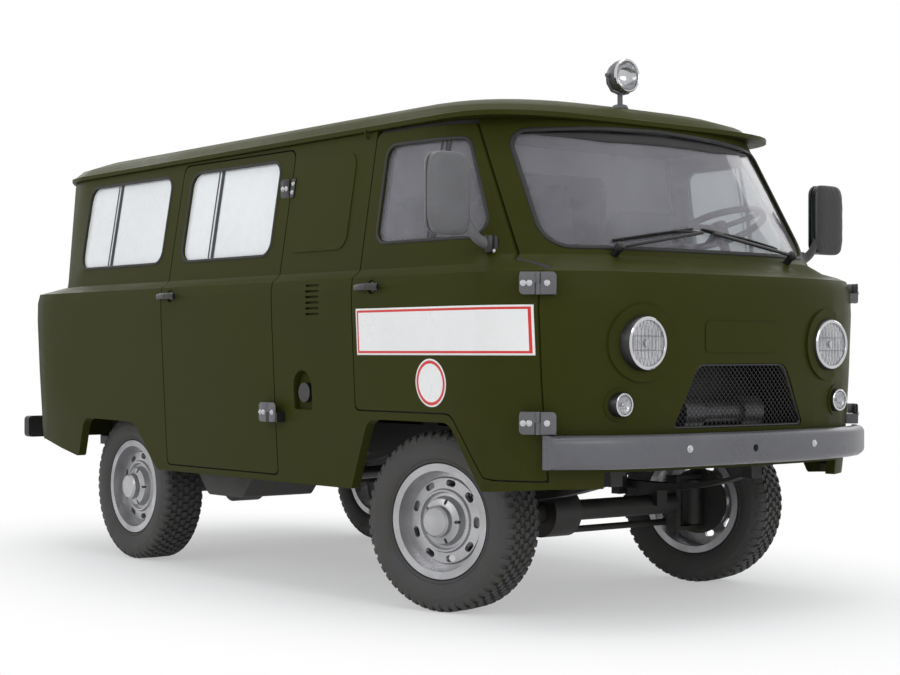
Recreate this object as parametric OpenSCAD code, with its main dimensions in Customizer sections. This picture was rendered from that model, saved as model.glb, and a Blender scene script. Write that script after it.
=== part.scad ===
// Military ambulance truck: a forward control van with five doors, steered front wheels and two live axles.
// Millimetres; x forward, y left, z up; the origin lies on the ground under the middle of the part.

/* [Overall] */
// Distance between the axles
wheelbase = 2300; // [2000:2700]
// Distance between the tyre centres
track = 1445; // [1300:1600]
// Front axle to the bumper's front face
front_overhang = 925; // [850:1050]
// Rear axle to the rear bumpers' back face
rear_overhang = 1090; // [950:1250]
// Widest part of the body at the shoulder
body_width = 1938; // [1850:2050]
// Rolling radius out to the lug tips
tyre_radius = 348; // [320:380]

/* [Body shell] */
// Front of the nose ahead of the front axle
nose_x = 868; // [820:900]
// Gap from the body's back to the rear bumpers' back face
tail_gap = 90; // [80:110]
// Lowest level of the walls
sill_z = 440; // [420:460]
// Second level of the walls
low_z = 620; // [600:640]
// Third level of the walls
mid_z = 900; // [860:940]
// Fourth level of the walls
high_z = 1150; // [1120:1180]
// Level of the widest part
shoulder_z = 1240; // [1225:1255]
// Level where the shoulder turns in
belt_z = 1284; // [1270:1292]
// Level of the belt crease
crease_z = 1300; // [1296:1306]
// Level where the ledge meets the upper walls
ledge_z = 1316; // [1310:1324]
// Level of the cowl under the windscreen
cowl_z = 1352; // [1340:1370]
// Top of the walls at the kink
eave_z = 1857; // [1840:1870]
// Height of the roof dome over the lip
crown_rise = 135; // [110:160]
// How far the walls tuck in at the sill
sill_tuck = 41; // [30:50]
// How far the walls tuck in at the second level
low_tuck = 29; // [20:35]
// How far the walls tuck in at the third level
mid_tuck = 14; // [8:18]
// How far the walls tuck in at the belt
belt_tuck = 6; // [4:10]
// How far the walls tuck in at the crease
crease_tuck = 29; // [24:34]
// How far the walls tuck in at the ledge
ledge_tuck = 43; // [40:48]
// How far the walls tuck in at the cowl
cowl_tuck = 49; // [46:55]
// How far the walls tuck in at the eaves
eave_tuck = 131; // [110:150]
// Length of the nose's curve in plan
nose_curve = 560; // [500:600]
// Squareness of the nose in plan
nose_power = 3; // [2.6:3.4]
// Length of the windscreen's curve in plan
screen_curve = 600; // [560:640]
// How far the cowl lies behind the nose
cowl_inset = 178; // [160:200]
// How far the windscreen's top lies behind the nose
eave_inset = 456; // [430:480]
// Length of the tub's rear curve in plan
tail_curve = 480; // [440:520]
// Squareness of the tub's rear in plan
tail_power = 3.5; // [3:4]
// Length of the upper rear curve at the belt
cabin_tail_curve = 670; // [620:700]
// Length of the upper rear curve at the eaves
eave_tail_curve = 500; // [460:540]
// Squareness of the upper rear in plan
cabin_tail_power = 2.3; // [2.1:2.6]
// Thickness of a wall or a door
wall = 40; // [30:45]
// Width of a panel gap
gap = 6; // [5:8]
// Height of the embossed panels
emboss = 4; // [3:6]
// Number of louvres
louvre_count = 6; // [4:8]

/* [Openings] */
// Side and rear panels' seam ahead of the body's back
seam_ahead = 340; // [320:380]
// Rear edge of the front doors
door_rear_x = -303; // [-320:-290]
// Front edge of the front doors below the belt
door_front_x = 674; // [660:680]
// Lower edge of the front doors over the wheel
door_arch_z = 767; // [760:780]
// Lower edge of the front doors ahead of the wheel
door_toe_z = 534; // [528:545]
// Foot of the front pillar's gap
pillar_low_x = 510; // [500:520]
// Level of the front pillar's foot
pillar_low_z = 1332; // [1328:1340]
// Top of the front pillar's gap
pillar_top_x = 208; // [195:220]
// Top edge of the front doors
front_door_top_z = 1858; // [1850:1862]
// Front edge of the side door
side_door_front_x = -868; // [-880:-855]
// Side door's rear edge ahead of the rear axle
side_door_ahead = 528; // [510:540]
// Lower edge of the side door
side_door_low_z = 484; // [478:490]
// Top edge of the side door
side_door_top_z = 1844; // [1838:1848]
// Half width of the rear doorway
rear_door_half = 640; // [620:660]
// Lower edge of the rear doors
rear_door_low_z = 672; // [665:690]
// Top edge of the rear doors
rear_door_top_z = 1796; // [1780:1806]
// Lower edge of the side windows
window_low_z = 1405; // [1395:1415]
// Top edge of the side windows
window_top_z = 1800; // [1780:1810]
// Corner radius of the windows
window_round = 60; // [40:80]
// Quarter window's rear edge behind the rear axle
quarter_behind = 350; // [330:370]
// Quarter window's front edge ahead of the rear axle
quarter_ahead = 430; // [410:440]
// Lower edge of the front door's window
cab_window_low_z = 1421; // [1415:1430]
// Rear edge of the front door's window
cab_window_rear_x = -220; // [-230:-210]
// Front foot of the front door's window
cab_window_front_x = 396; // [380:400]
// Front top of the front door's window
cab_window_tip_x = 197; // [185:205]
// Top edge of the rear windows
rear_window_top_z = 1730; // [1700:1740]
// Half width of the windscreen's foot
screen_low_half = 719; // [705:730]
// Half width of the windscreen's top
screen_top_half = 683; // [670:695]
// Lower edge of the windscreen
screen_low_z = 1385; // [1378:1390]
// Top corners of the windscreen
screen_top_z = 1822; // [1812:1826]
// Top of the windscreen on the centre line
screen_bow_z = 1860; // [1850:1864]

/* [Lower edge] */
// Half length of the front arch's top
front_arch_half = 215; // [200:230]
// Top of the front arch
front_arch_z = 734; // [725:745]
// Rear foot of the front arch
front_arch_rear_x = -355; // [-370:-340]
// Front foot of the front arch
front_arch_front_x = 446; // [440:460]
// Lower edge of the sills
sill_edge_z = 455; // [450:460]
// Top of the rear arch
rear_arch_z = 674; // [665:685]
// Rear axle to the rear arch's rear edge
rear_arch_back = 310; // [295:325]
// Rear axle to the front of the arch's top
rear_arch_ahead = 236; // [225:245]
// Lower edge at the back
tail_skirt_z = 566; // [560:572]

/* [Front end] */
// Half width of the grille's foot
grille_low_half = 361; // [350:370]
// Half width of the grille's top
grille_top_half = 240; // [230:250]
// Lower edge of the grille
grille_low_z = 715; // [708:722]
// Top edge of the grille
grille_top_z = 953; // [945:960]
// Spacing of the grille's bars
mesh_pitch = 48; // [42:60]
// Width of a grille bar
mesh_bar = 6; // [5:8]
// Half width of the nose's embossed panel
nose_mark_half = 209; // [200:220]
// Height of the boss round a headlamp
boss_rise = 10; // [6:14]
// Radius of the boss round a headlamp
boss_radius = 140; // [130:145]
// Headlamp's distance from the centre line
lamp_y = 510; // [500:520]
// Headlamp's height
lamp_z = 1027; // [1015:1040]
// Headlamp's outer radius
lamp_radius = 100; // [90:110]
// Headlamp's front face
lamp_x = 872; // [866:880]
// Front signal's distance from the centre line
signal_y = 597; // [590:605]
// Front signal's height
signal_z = 807; // [800:815]
// Front signal's radius
signal_radius = 45; // [38:50]
// Rear lamp's distance from the centre line
tail_lamp_y = 790; // [780:800]
// Rear lamp's height
tail_lamp_z = 900; // [860:940]
// Bumper's lower edge
bumper_low_z = 579; // [572:585]
// Bumper's upper edge
bumper_high_z = 700; // [690:706]
// Bumper's half length
bumper_half = 857; // [840:870]
// Length of the bumper's curve
bumper_curve = 607; // [580:640]
// Bumper's depth
bumper_thick = 42; // [36:46]
// Radius of the bumper's front edges
bumper_round = 28; // [20:34]
// Spot lamp's place along the roof
spot_x = 205; // [190:220]
// Spot lamp's height
spot_z = 2107; // [2095:2120]
// Spot lamp's radius
spot_radius = 68; // [60:75]
// Mirror's place ahead of the front axle
mirror_x = 399; // [380:410]
// Mirror's distance from the centre line
mirror_y = 1051; // [1040:1060]
// Mirror's height
mirror_z = 1565; // [1555:1575]
// Mirror's width
mirror_width = 185; // [170:195]
// Mirror's height of shell
mirror_height = 300; // [280:310]
// Wiper pivot's distance from the centre line
wiper_y = 479; // [465:490]
// Wiper pivot's height
wiper_z = 1374; // [1368:1380]

/* [Hinges and handles] */
// Height of a hinge
leaf_height = 80; // [70:90]
// Foot of the lower front hinge
front_hinge_low_z = 704; // [700:710]
// Foot of the upper front hinge
front_hinge_high_z = 1198; // [1190:1205]
// Foot of the side hinge
side_hinge_z = 705; // [700:712]
// Foot of the side door's upper strap
side_strap_z = 1640; // [1620:1650]
// Foot of the lower rear hinge
rear_hinge_low_z = 745; // [735:755]
// Foot of the upper rear hinge
rear_hinge_high_z = 1190; // [1180:1200]
// Height of the door handles
handle_z = 1246; // [1238:1250]
// Front handle's pivot ahead of the door's rear edge
front_handle_ahead = 131; // [120:140]
// Side handle's pivot ahead of the door's rear edge
side_handle_ahead = 82; // [75:90]
// Length of a handle's lever
handle_long = 70; // [60:80]

/* [Running gear] */
// Angle at which the front wheels stand
steer_rest = 14.8; // [0:15]
// Wheel's middle plane outside its kingpin
kingpin_offset = 82.5; // [80:90]
// Tyre's width
tyre_width = 216; // [200:230]
// Lugs in each of the tyre's two rows
lug_count = 27; // [20:30]
// Height of a lug
lug_height = 10; // [8:12]
// Half length of a lug
lug_half = 19; // [15:21]
// Radius of the tyre's bead
bead_radius = 203; // [195:210]
// Wheel disc's place outboard of the tyre's middle
disc_at = 30; // [20:40]
// Radius of the hub's dome
hub_radius = 96; // [92:100]
// Radius of the hub's cap
cap_radius = 60; // [56:64]
// Hub cap's reach outboard of the tyre's middle
cap_out = 118; // [110:124]
// Radius of the brake drum
drum_radius = 126; // [120:128]
// Vent slots in a wheel disc
vent_count = 9; // [8:10]
// Radius of the ring of vent slots
vent_ring = 146; // [144:148]
// Width of a vent slot
vent_radial = 26; // [22:28]
// Length of a vent slot round the wheel
vent_around = 44; // [38:50]
// Slots in the hub's dome
hub_slot_count = 5; // [4:6]
// Gear housing's side offset
diff_y = -180; // [-200:-160]
// Length of the steering arms
arm_length = 120; // [115:128]
// Inner face of a frame rail
rail_in = 350; // [340:356]
// Outer face of a frame rail
rail_out = 430; // [424:436]
// Lower edge of the frame rails
rail_low_z = 560; // [555:565]
// Upper edge of the frame rails
rail_high_z = 690; // [680:700]
// Half length of a leaf spring
spring_half = 560; // [540:580]
// Underside of the floor
floor_z = 735; // [728:742]
// Thickness of the floor
floor_thick = 30; // [24:36]
// Rear edge of the footwell
foot_x = 400; // [390:410]
// Underside of the footwell
foot_z = 570; // [562:578]

/* [Cab interior] */
// Rear face of the partition
partition_x = -345; // [-350:-335]
// Half width of the engine cover
cover_half = 330; // [320:340]
// Top of the engine cover
cover_top_z = 1130; // [1100:1160]
// Steering wheel's distance from the centre line
wheel_y = 480; // [470:490]
// Steering wheel's place
wheel_x = 300; // [290:310]
// Steering wheel's height
wheel_z = 1510; // [1500:1520]
// Steering wheel's radius
wheel_radius = 205; // [195:215]
// Steering column's lean
wheel_tilt = 21.5; // [18:25]
// Inner side of a seat
seat_in = 350; // [345:360]
// Outer side of a seat
seat_out = 800; // [780:820]
// Front of a seat's cushion
seat_front_x = 190; // [170:210]
// Rear of a seat's cushion
seat_rear_x = -250; // [-260:-240]
// Top of a seat's base
seat_base_z = 990; // [970:1000]
// Top of a seat's cushion
seat_top_z = 1105; // [1095:1120]
// Top of a seat's back
seat_back_z = 1620; // [1590:1650]

/* [Node] */
// Which sub-part is drawn

/* [Hidden] */

// Shell details
skin = 14;
roof_wall = 30;
lip = 14;
lip_height = 22;
rear_split = 16;
kink_x = -900;
front_rise = 0.0166;
rear_fall = 0.0053;
cabin_tail_inset = 25;
eave_tail_inset = 65;

// Window and grille details
rear_window_in = 90;
rear_window_margin = 80;
saloon_rear_margin = 82;
saloon_front_margin = 102;
screen_round = 80;
grille_round = 55;
mesh_thick = 5;
glass_inset = 12;
glass_thick = 6;

// Lower edge details
front_toe_z = 489;
nose_skirt_z = 518;
nose_open_half = 640;
nose_open_z = 566;
rear_skirt_z = 482;
rear_arch_foot = 432;
arch_round = 70;

// Niche, louvres and blind panel
niche_rear_x = -726;
niche_front_x = -597;
niche_low_z = 760;
niche_top_z = 921;
louvre_rear_x = -620;
louvre_front_x = -528;
louvre_low_z = 1143;
louvre_top_z = 1258;
blind_rear_x = -831;
blind_front_x = -420;

// Lamp and bumper details
signal_x = 840;
tail_lamp_width = 90;
tail_lamp_height = 170;
bumper_span = 1000;
rear_bumper_in = 345;
rear_bumper_out = 850;
rear_bumper_low_z = 548;
rear_bumper_high_z = 658;
mirror_depth = 55;
mirror_round = 45;

// Wheel and axle details
disc_thick = 9;
rim_half = 90;
flange_radius = 221;
step_radius = 169;
lip_radius = 118;
arm_drop = 55;
spring_rise = 92;
diff_radius = 100;
axle_radius = 42;
spindle_radius = 25;

// Play and thickness of small pieces
seat_play = 0.3;
partition_thick = 25;
cover_thick = 12;
cap_edge = 8;
hub_play = 1;
seat_depth = 3;
lift_off = 8;

// Lamps, bumpers and nose
lamp_back = 150;
lamp_rim = 16;
signal_rim = 9;
signal_boss_radius = 60;
tail_lamp_deep = 30;
spot_post = 16;
spot_depth = 95;
crank_hole = 14;
rear_bumper_thick = 50;
nose_mark_low_z = 994;
nose_mark_top_z = 1110;
mesh_border = 9;

// Mirrors and wipers
mirror_crown = 15;
mirror_rim = 12;
mirror_glass_deep = 6;
mirror_arm = 11;
mirror_foot_ahead = 8;
mirror_foot_in = 122;
mirror_foot_drop = 24;
wiper_arm = 7;
wiper_tip_y = 30;
wiper_rise = 78;

// Hinges, handles and filler
hinge_ahead = 14;
front_hinge_tuck = 91;
side_hinge_out = 13;
rear_hinge_ahead = 17;
leaf_long = 65;
leaf_deep = 40;
handle_round = 11;
handle_thick = 12;
handle_boss = 14;
handle_out = 34;
dish_radius = 28;
dish_deep = 10;
niche_depth = 46;
filler_high = 22;
filler_z = 830;
filler_radius = 40;

// Running gear and cab
lug_in = 12;
hub_slot_ring = 78;
hub_slot_radial = 22;
hub_slot_around = 12;
rail_front_gap = 92;
rail_back_gap = 100;
winch_radius = 62;
tow_radius = 16;
tail_pipe_in = 90;
tie_radius = 14;
pin_radius = 9;
rim_thick = 14;
dash_half = 690;

// Frame of the part
total_length = front_overhang + wheelbase + rear_overhang;
axle_x = total_length / 2 - front_overhang;
half = body_width / 2;
hub_z = tyre_radius;
rear_x = -wheelbase;
tail_x = wheelbase + rear_overhang - tail_gap;
seam_x = -tail_x + seam_ahead;
kingpin_y = track / 2 - kingpin_offset;
side_door_rear_x = rear_x + side_door_ahead;
quarter_rear_x = rear_x - quarter_behind;
quarter_front_x = rear_x + quarter_ahead;
saloon_rear_x = side_door_rear_x + saloon_rear_margin;
saloon_front_x = side_door_front_x - saloon_front_margin;
rear_window_out = rear_door_half - rear_window_margin;
reach = 1200;
far = 4000;
sky = 2600;
front_steps = 20;
rear_steps = 12;
roof_steps = 6;
roof_arc = 86;
roof_front_pull = 930;
roof_rear_pull = 1100;
roof_curve = 480;
lip_curve = 500;
lip_power = 4;
cove = 4;

// Colours of the sub-parts
paint = [0.24, 0.25, 0.15];
dark = [0.1, 0.1, 0.1];
steel = [0.55, 0.56, 0.58];
clear = [0.6, 0.7, 0.72, 0.5];
frost = [0.9, 0.92, 0.92];
rubber = [0.09, 0.09, 0.1];
cloth = [0.2, 0.2, 0.19];

// Levels of the walls: level, eave slope, half width, front, back, front curve, power, rear curve, power
function level(z, rise, tuck, front, back, fc, fp, rc, rp) =
  [z, rise, half - tuck, front, back, fc, fp, rc, rp];
tub = [
  level(sill_z, 0, sill_tuck, nose_x - sill_tuck * 0.75, -tail_x + sill_tuck * 0.6,
    nose_curve, nose_power, tail_curve, tail_power),
  level(low_z, 0, low_tuck, nose_x - low_tuck / 2, -tail_x + low_tuck / 4,
    nose_curve, nose_power, tail_curve, tail_power),
  level(mid_z, 0, mid_tuck, nose_x - mid_tuck / 4, -tail_x, nose_curve, nose_power, tail_curve, tail_power),
  level(high_z, 0, belt_tuck / 3, nose_x, -tail_x, nose_curve, nose_power, tail_curve, tail_power),
  level(shoulder_z, 0, 0, nose_x - belt_tuck, -tail_x + belt_tuck,
    nose_curve, nose_power, tail_curve, tail_power),
  level(belt_z, 0, belt_tuck, nose_x - belt_tuck * 3.5, -tail_x + belt_tuck * 3,
    nose_curve, nose_power, tail_curve, tail_power),
  level(crease_z, 0, crease_tuck, nose_x - crease_tuck * 1.9, -tail_x + cabin_tail_inset * 0.9,
    nose_curve, nose_power, (tail_curve + cabin_tail_curve) / 2, (tail_power + cabin_tail_power) / 2)];
cabin = [
  level(ledge_z, 0, ledge_tuck, nose_x - ledge_tuck * 2.6, -tail_x + cabin_tail_inset,
    (nose_curve + screen_curve) / 2, nose_power, cabin_tail_curve, cabin_tail_power),
  level(cowl_z, 0, cowl_tuck, nose_x - cowl_inset, -tail_x + cabin_tail_inset,
    screen_curve, nose_power, cabin_tail_curve, cabin_tail_power),
  level(eave_z, 1, eave_tuck, nose_x - eave_inset, -tail_x + eave_tail_inset,
    screen_curve, nose_power, eave_tail_curve, cabin_tail_power)];
walls = concat(tub, cabin);

// Levels of the roof
eave_front = nose_x - eave_inset;
eave_back = -tail_x + eave_tail_inset;
eave_half = half - eave_tuck;
function lip_level(z, out) =
  [z, 1, eave_half + out, eave_front + out, eave_back - out,
   lip_curve, lip_power, eave_tail_curve, cabin_tail_power];
function dome_level(a, z, width, rise, shift) =
  [z + rise * pow(sin(a), 1.1), 1, width * cos(a), eave_front - shift - roof_front_pull * (1 - cos(a)),
   eave_back + shift + roof_rear_pull * (1 - cos(a)), roof_curve, nose_power, roof_curve, cabin_tail_power];
dome_z = eave_z + lip_height + cove * 2;
roof_levels = concat(
  [lip_level(eave_z + seat_play, -cove), lip_level(eave_z + cove, lip), lip_level(eave_z + lip_height, lip)],
  [for (i = [0 : roof_steps])
    dome_level(roof_arc * i / roof_steps, dome_z, eave_half, crown_rise, cove * 4)]);
roof_inner = concat(
  [lip_level(eave_z - cove, -wall)],
  [for (i = [0 : roof_steps])
    dome_level(roof_arc * i / roof_steps, dome_z - roof_wall, eave_half - wall - cove,
      crown_rise, wall + cove * 4)]);

// Points of one level, nose first and counterclockwise from above
function lift(x) = (x - kink_x) * (x > kink_x ? front_rise : rear_fall);
function super(c, p) = sign(c) * pow(abs(c), 2 / p);
function point(r, x, y) = [x, y, r[0] + r[1] * lift(x)];
function level_points(r, inset) = concat(
  [for (i = [0 : front_steps]) let (t = -90 + 180 * i / front_steps)
    point(r, r[3] - r[5] + (r[5] - inset) * super(cos(t), r[6]), (r[2] - inset) * super(sin(t), r[6]))],
  [for (i = [0 : rear_steps]) let (t = 90 + 180 * i / rear_steps)
    point(r, r[4] + r[7] + (r[7] - inset) * super(cos(t), r[8]), (r[2] - inset) * super(sin(t), r[8]))]);
ring_count = front_steps + rear_steps + 2;
function cap(flip) = let (
  nose = [for (i = [0 : front_steps / 2 - 1]) each (i + 1 == front_steps / 2
    ? [[i, front_steps - i, i + 1]]
    : [[i, front_steps - i, front_steps - i - 1], [i, front_steps - i - 1, i + 1]])],
  b = front_steps + 1,
  e = front_steps + 1 + rear_steps,
  middle = [[e, b, b - 1], [e, b - 1, 0]],
  tail = [for (j = [0 : rear_steps / 2 - 1]) each (j + 1 == rear_steps / 2
    ? [[b + j + 1, b + j, e - j]]
    : [[e - j - 1, b + j + 1, b + j], [e - j - 1, b + j, e - j]])],
  all = concat(nose, middle, tail))
  flip ? [for (f = all) [f[0], f[2], f[1]]] : all;
module loft(levels, inset) {
  pts = [for (r = levels) each level_points(r, inset)];
  top = (len(levels) - 1) * ring_count;
  sides = [for (k = [0 : len(levels) - 2]) for (i = [0 : ring_count - 1]) let (
    a = k * ring_count + i,
    b = k * ring_count + (i + 1) % ring_count)
    each (i >= front_steps / 2 && i <= front_steps + rear_steps / 2
      ? [[a, a + ring_count, b], [b, a + ring_count, b + ring_count]]
      : [[a, a + ring_count, b + ring_count], [a, b + ring_count, b]])];
  faces = concat(sides, cap(true), [for (f = cap(false)) [f[0] + top, f[1] + top, f[2] + top]]);
  polyhedron(points = pts, faces = faces, convexity = 6);
}

// Rounded outlines
function unit(v) = v / norm(v);
function corner(p, a, b, r) = r <= 0 ? [p] : let (
  u = unit(a - p),
  v = unit(b - p),
  h = acos(max(-1, min(1, u * v))) / 2,
  o = p + unit(u + v) * (r / sin(h)),
  s = p + u * (r / tan(h)) - o,
  e = p + v * (r / tan(h)) - o,
  s1 = atan2(s[1], s[0]),
  d0 = atan2(e[1], e[0]) - s1,
  d = d0 > 180 ? d0 - 360 : (d0 < -180 ? d0 + 360 : d0))
  [for (i = [0 : 4]) o + r * [cos(s1 + d * i / 4), sin(s1 + d * i / 4)]];
function outline(p, r) = let (n = len(p))
  [for (i = [0 : n - 1]) each corner([p[i][0], p[i][1]], [p[(i + n - 1) % n][0], p[(i + n - 1) % n][1]],
    [p[(i + 1) % n][0], p[(i + 1) % n][1]], len(p[i]) > 2 ? p[i][2] : r)];

// Prisms through the right side, through both sides and through an end
module through_right(p) rotate([90, 0, 0]) linear_extrude(height = reach) polygon(p);
module through_both(p) translate([0, reach, 0]) rotate([90, 0, 0])
  linear_extrude(height = reach * 2) polygon(p);
module through_front(p) rotate([90, 0, 90]) linear_extrude(height = reach) polygon(p);
module through_back(p) translate([-far, 0, 0]) rotate([90, 0, 90])
  linear_extrude(height = far / 2) polygon(p);
module box(x0, x1, y0, y1, z0, z1) translate([x0, y0, z0]) cube([x1 - x0, y1 - y0, z1 - z0]);
module rod(a, b, r) {
  d = b - a;
  translate(a) rotate([0, acos(d[2] / norm(d)), atan2(d[1], d[0])]) cylinder(h = norm(d), r = r);
}
module place() translate([axle_x, 0, 0]) children();
module left() mirror([0, 1, 0]) children();
module both() {
  children();
  mirror([0, 1, 0]) children();
}
module seated() difference() {
  children();
  loft(walls, -seat_play);
}

// Outlines of the doors and windows, drawn in side, front or rear view
slope_share = 0.87;
drop_share = 0.5;
tip_share = 1.6;
lean_share = 1.3;
tight = 6;
small_round = 12;
edge_round = 20;
door_round = 24;
bend_round = 30;
top_round = 40;
toe_round = 60;
rear_round = 90;
arch_lead = 70;
toe_lead = 44;
toe_drop = 6;
function arch_line(g) = [
  [door_rear_x + g, door_arch_z + g, door_round],
  [front_arch_half + arch_lead + g * drop_share, door_arch_z + g, toe_round],
  [front_arch_front_x + g * slope_share, door_toe_z + toe_drop + g * drop_share, bend_round],
  [front_arch_front_x + toe_lead + g * drop_share, door_toe_z + g, edge_round]];
function front_door_outline(g) = let (top = front_door_top_z - g + gap / 2) outline(concat(
  [[door_rear_x + g, top, bend_round]],
  arch_line(g),
  [[door_front_x - g, door_toe_z + g, small_round],
   [door_front_x - g, crease_z - gap - g, edge_round],
   [pillar_low_x - g, pillar_low_z - g, edge_round],
   [pillar_top_x - g, top, edge_round]]), 0);
function frame(x0, x1, z0, z1, low_round, high_round) = outline([
  [x0, z0, low_round], [x1, z0, low_round], [x1, z1, high_round], [x0, z1, high_round]], 0);
function side_door_outline(g) = frame(side_door_rear_x + g, side_door_front_x - g,
  side_door_low_z + g, side_door_top_z - g, door_round, top_round);
function rear_door_outline(g) = let (inner = -rear_split / 2 - g + gap / 2) outline([
  [-rear_door_half + g, rear_door_low_z + g, door_round], [inner, rear_door_low_z + g, tight],
  [inner, rear_door_top_z - g, tight], [-rear_door_half + g, rear_door_top_z - g, rear_round]], 0);
function rear_way() = let (side = rear_door_half + gap / 2)
  frame(-side, side, rear_door_low_z - gap / 2, rear_door_top_z + gap / 2, door_round, rear_round);
function window(x0, x1, g) =
  frame(x0 + g, x1 - g, window_low_z + g, window_top_z - g, window_round, window_round);
function cab_window(g) = outline([
  [cab_window_rear_x + g, cab_window_low_z + g], [cab_window_front_x - g * tip_share, cab_window_low_z + g],
  [cab_window_tip_x - g * lean_share, window_top_z - g], [cab_window_rear_x + g, window_top_z - g]],
  window_round * slope_share);
function rear_window(g) = frame(-rear_window_out + g, -rear_window_in - g,
  window_low_z + g, rear_window_top_z - g, window_round, window_round);
function screen(g) = let (shoulder = (screen_top_z + screen_bow_z * 2) / 3 - g) outline([
  [-screen_low_half + g, screen_low_z + g, screen_round],
  [screen_low_half - g, screen_low_z + g, screen_round],
  [screen_top_half - g, screen_top_z - g, screen_round], [screen_top_half / 2, shoulder, 0],
  [0, screen_bow_z - g, 0], [-screen_top_half / 2, shoulder, 0],
  [-screen_top_half + g, screen_top_z - g, screen_round]], 0);
function grille(g) = outline([
  [-grille_low_half + g, grille_low_z + g, small_round], [grille_low_half - g, grille_low_z + g, small_round],
  [grille_top_half - g, grille_top_z - g, grille_round],
  [-grille_top_half + g, grille_top_z - g, grille_round]], 0);

// Everything under the body's lower edge, with both wheel arches
arch_foot = 130;
arch_nose = 60;
skirt_fall = 12;
skirt_share = 0.6;
below = outline([
  [-far, tail_skirt_z, 0], [-tail_x + tail_curve * skirt_share, tail_skirt_z - skirt_fall, 0],
  [rear_x - rear_arch_back - edge_round, rear_skirt_z, edge_round],
  [rear_x - rear_arch_back + arch_nose, rear_arch_z, arch_round],
  [rear_x + rear_arch_ahead, rear_arch_z - tight, arch_round * tip_share],
  [rear_x + rear_arch_foot, sill_edge_z, bend_round], [front_arch_rear_x, sill_edge_z, small_round],
  [front_arch_rear_x + arch_foot, front_arch_z, arch_round],
  [front_arch_half + arch_nose, front_arch_z, arch_round],
  [front_arch_front_x - skirt_fall, front_toe_z, edge_round], [door_front_x, nose_skirt_z - skirt_fall, 0],
  [nose_x + reach, nose_skirt_z, 0], [nose_x + reach, 0, 0], [-far, 0, 0]], 0);

// Side view of the front panel, up to the pillars, and of the front doorways
pillar_slope = (pillar_low_x - pillar_top_x) / (front_door_top_z - pillar_low_z);
front_zone = [
  [door_front_x + gap / 2, 0], [nose_x + reach, 0], [nose_x + reach, sky],
  [pillar_top_x + gap / 2 - (sky - front_door_top_z) * pillar_slope, sky],
  [pillar_top_x + gap / 2, front_door_top_z + gap], [pillar_low_x + gap, pillar_low_z + gap / 2],
  [door_front_x + gap / 2, crease_z - gap / 2]];
front_way = outline(concat(
  [[door_rear_x - gap / 2, sky, 0]],
  arch_line(-gap / 2),
  [[nose_x + reach, door_toe_z - gap / 2, 0], [nose_x + reach, sky, 0]]), 0);

// Outer body panels
inner_walls = concat(
  [level(sill_z - wall, 0, sill_tuck, nose_x - sill_tuck, -tail_x + sill_tuck,
    nose_curve, nose_power, tail_curve, tail_power)],
  walls,
  [level(eave_z + wall, 1, eave_tuck, eave_front, eave_back,
    screen_curve, nose_power, eave_tail_curve, cabin_tail_power)]);
module wall_shell() difference() {
  loft(walls, 0);
  loft(inner_walls, wall);
  through_both(below);
}
module pane(depth, thick) difference() {
  loft(walls, depth);
  loft(inner_walls, depth + thick);
}
module raised(rise) pane(-rise, rise + wall / 2);
module ahead(y, z, r) rod([0, y, z], [reach, y, z], r);
horn_play = 8;
horn_in = rail_in + 10;
horn_out = rail_out - 10;
horn_low = bumper_low_z + 20;
horn_high = bumper_high_z - 25;
module front_panel() color(paint) place() difference() {
  union() {
    intersection() {
      wall_shell();
      through_both(front_zone);
    }
    intersection() {
      raised(emboss);
      through_front(frame(-nose_mark_half, nose_mark_half, nose_mark_low_z, nose_mark_top_z,
        edge_round, edge_round));
    }
    both() intersection() {
      raised(boss_rise);
      ahead(-lamp_y, lamp_z, boss_radius);
    }
    both() intersection() {
      raised(emboss);
      ahead(-signal_y, signal_z, signal_boss_radius);
    }
  }
  through_front(screen(0));
  through_front(grille(0));
  box(0, reach, -nose_open_half, nose_open_half, 0, nose_open_z);
  both() box(0, reach, horn_in - horn_play, horn_out + horn_play,
    horn_low - horn_play, horn_high + horn_play);
}
module side_panel() difference() {
  union() {
    intersection() {
      wall_shell();
      box(seam_x, door_front_x + gap / 2, -reach, 0, 0, sky);
    }
    intersection() {
      raised(emboss);
      through_right(frame(blind_rear_x, blind_front_x, window_low_z, window_top_z,
        window_round, window_round));
    }
  }
  through_right(front_way);
  through_right(window(quarter_rear_x, quarter_front_x, 0));
}

// Louvres and the arched filler niche of the right panel
niche_x = (niche_rear_x + niche_front_x) / 2;
niche_round = (niche_front_x - niche_rear_x) / 2 - 1;
niche_floor_y = -half + niche_depth;
louvre_step = (louvre_top_z - louvre_low_z) / (louvre_count - 1);
louvre_high = 9;
louvre_deep = 14;
module niche() intersection() {
  through_right(frame(niche_rear_x, niche_front_x, niche_low_z, niche_top_z, small_round, niche_round));
  box(-far, 0, -reach, niche_floor_y, 0, sky);
}
module louvres() for (i = [0 : louvre_count - 1])
  box(louvre_rear_x, louvre_front_x, -reach, -half + louvre_deep,
    louvre_low_z + i * louvre_step, louvre_low_z + i * louvre_step + louvre_high);
module side_panel_right() color(paint) place() difference() {
  side_panel();
  through_right(side_door_outline(-gap / 2));
  niche();
  louvres();
}
module side_panel_left() color(paint) place() left() difference() {
  side_panel();
  through_right(window(saloon_rear_x, saloon_front_x, 0));
}
module rear_panel() color(paint) place() difference() {
  intersection() {
    wall_shell();
    box(-far, seam_x, -reach, reach, 0, sky);
  }
  through_back(rear_way());
}
module roof() color(paint) place() difference() {
  loft(roof_levels, 0);
  loft(roof_inner, 0);
}

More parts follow.
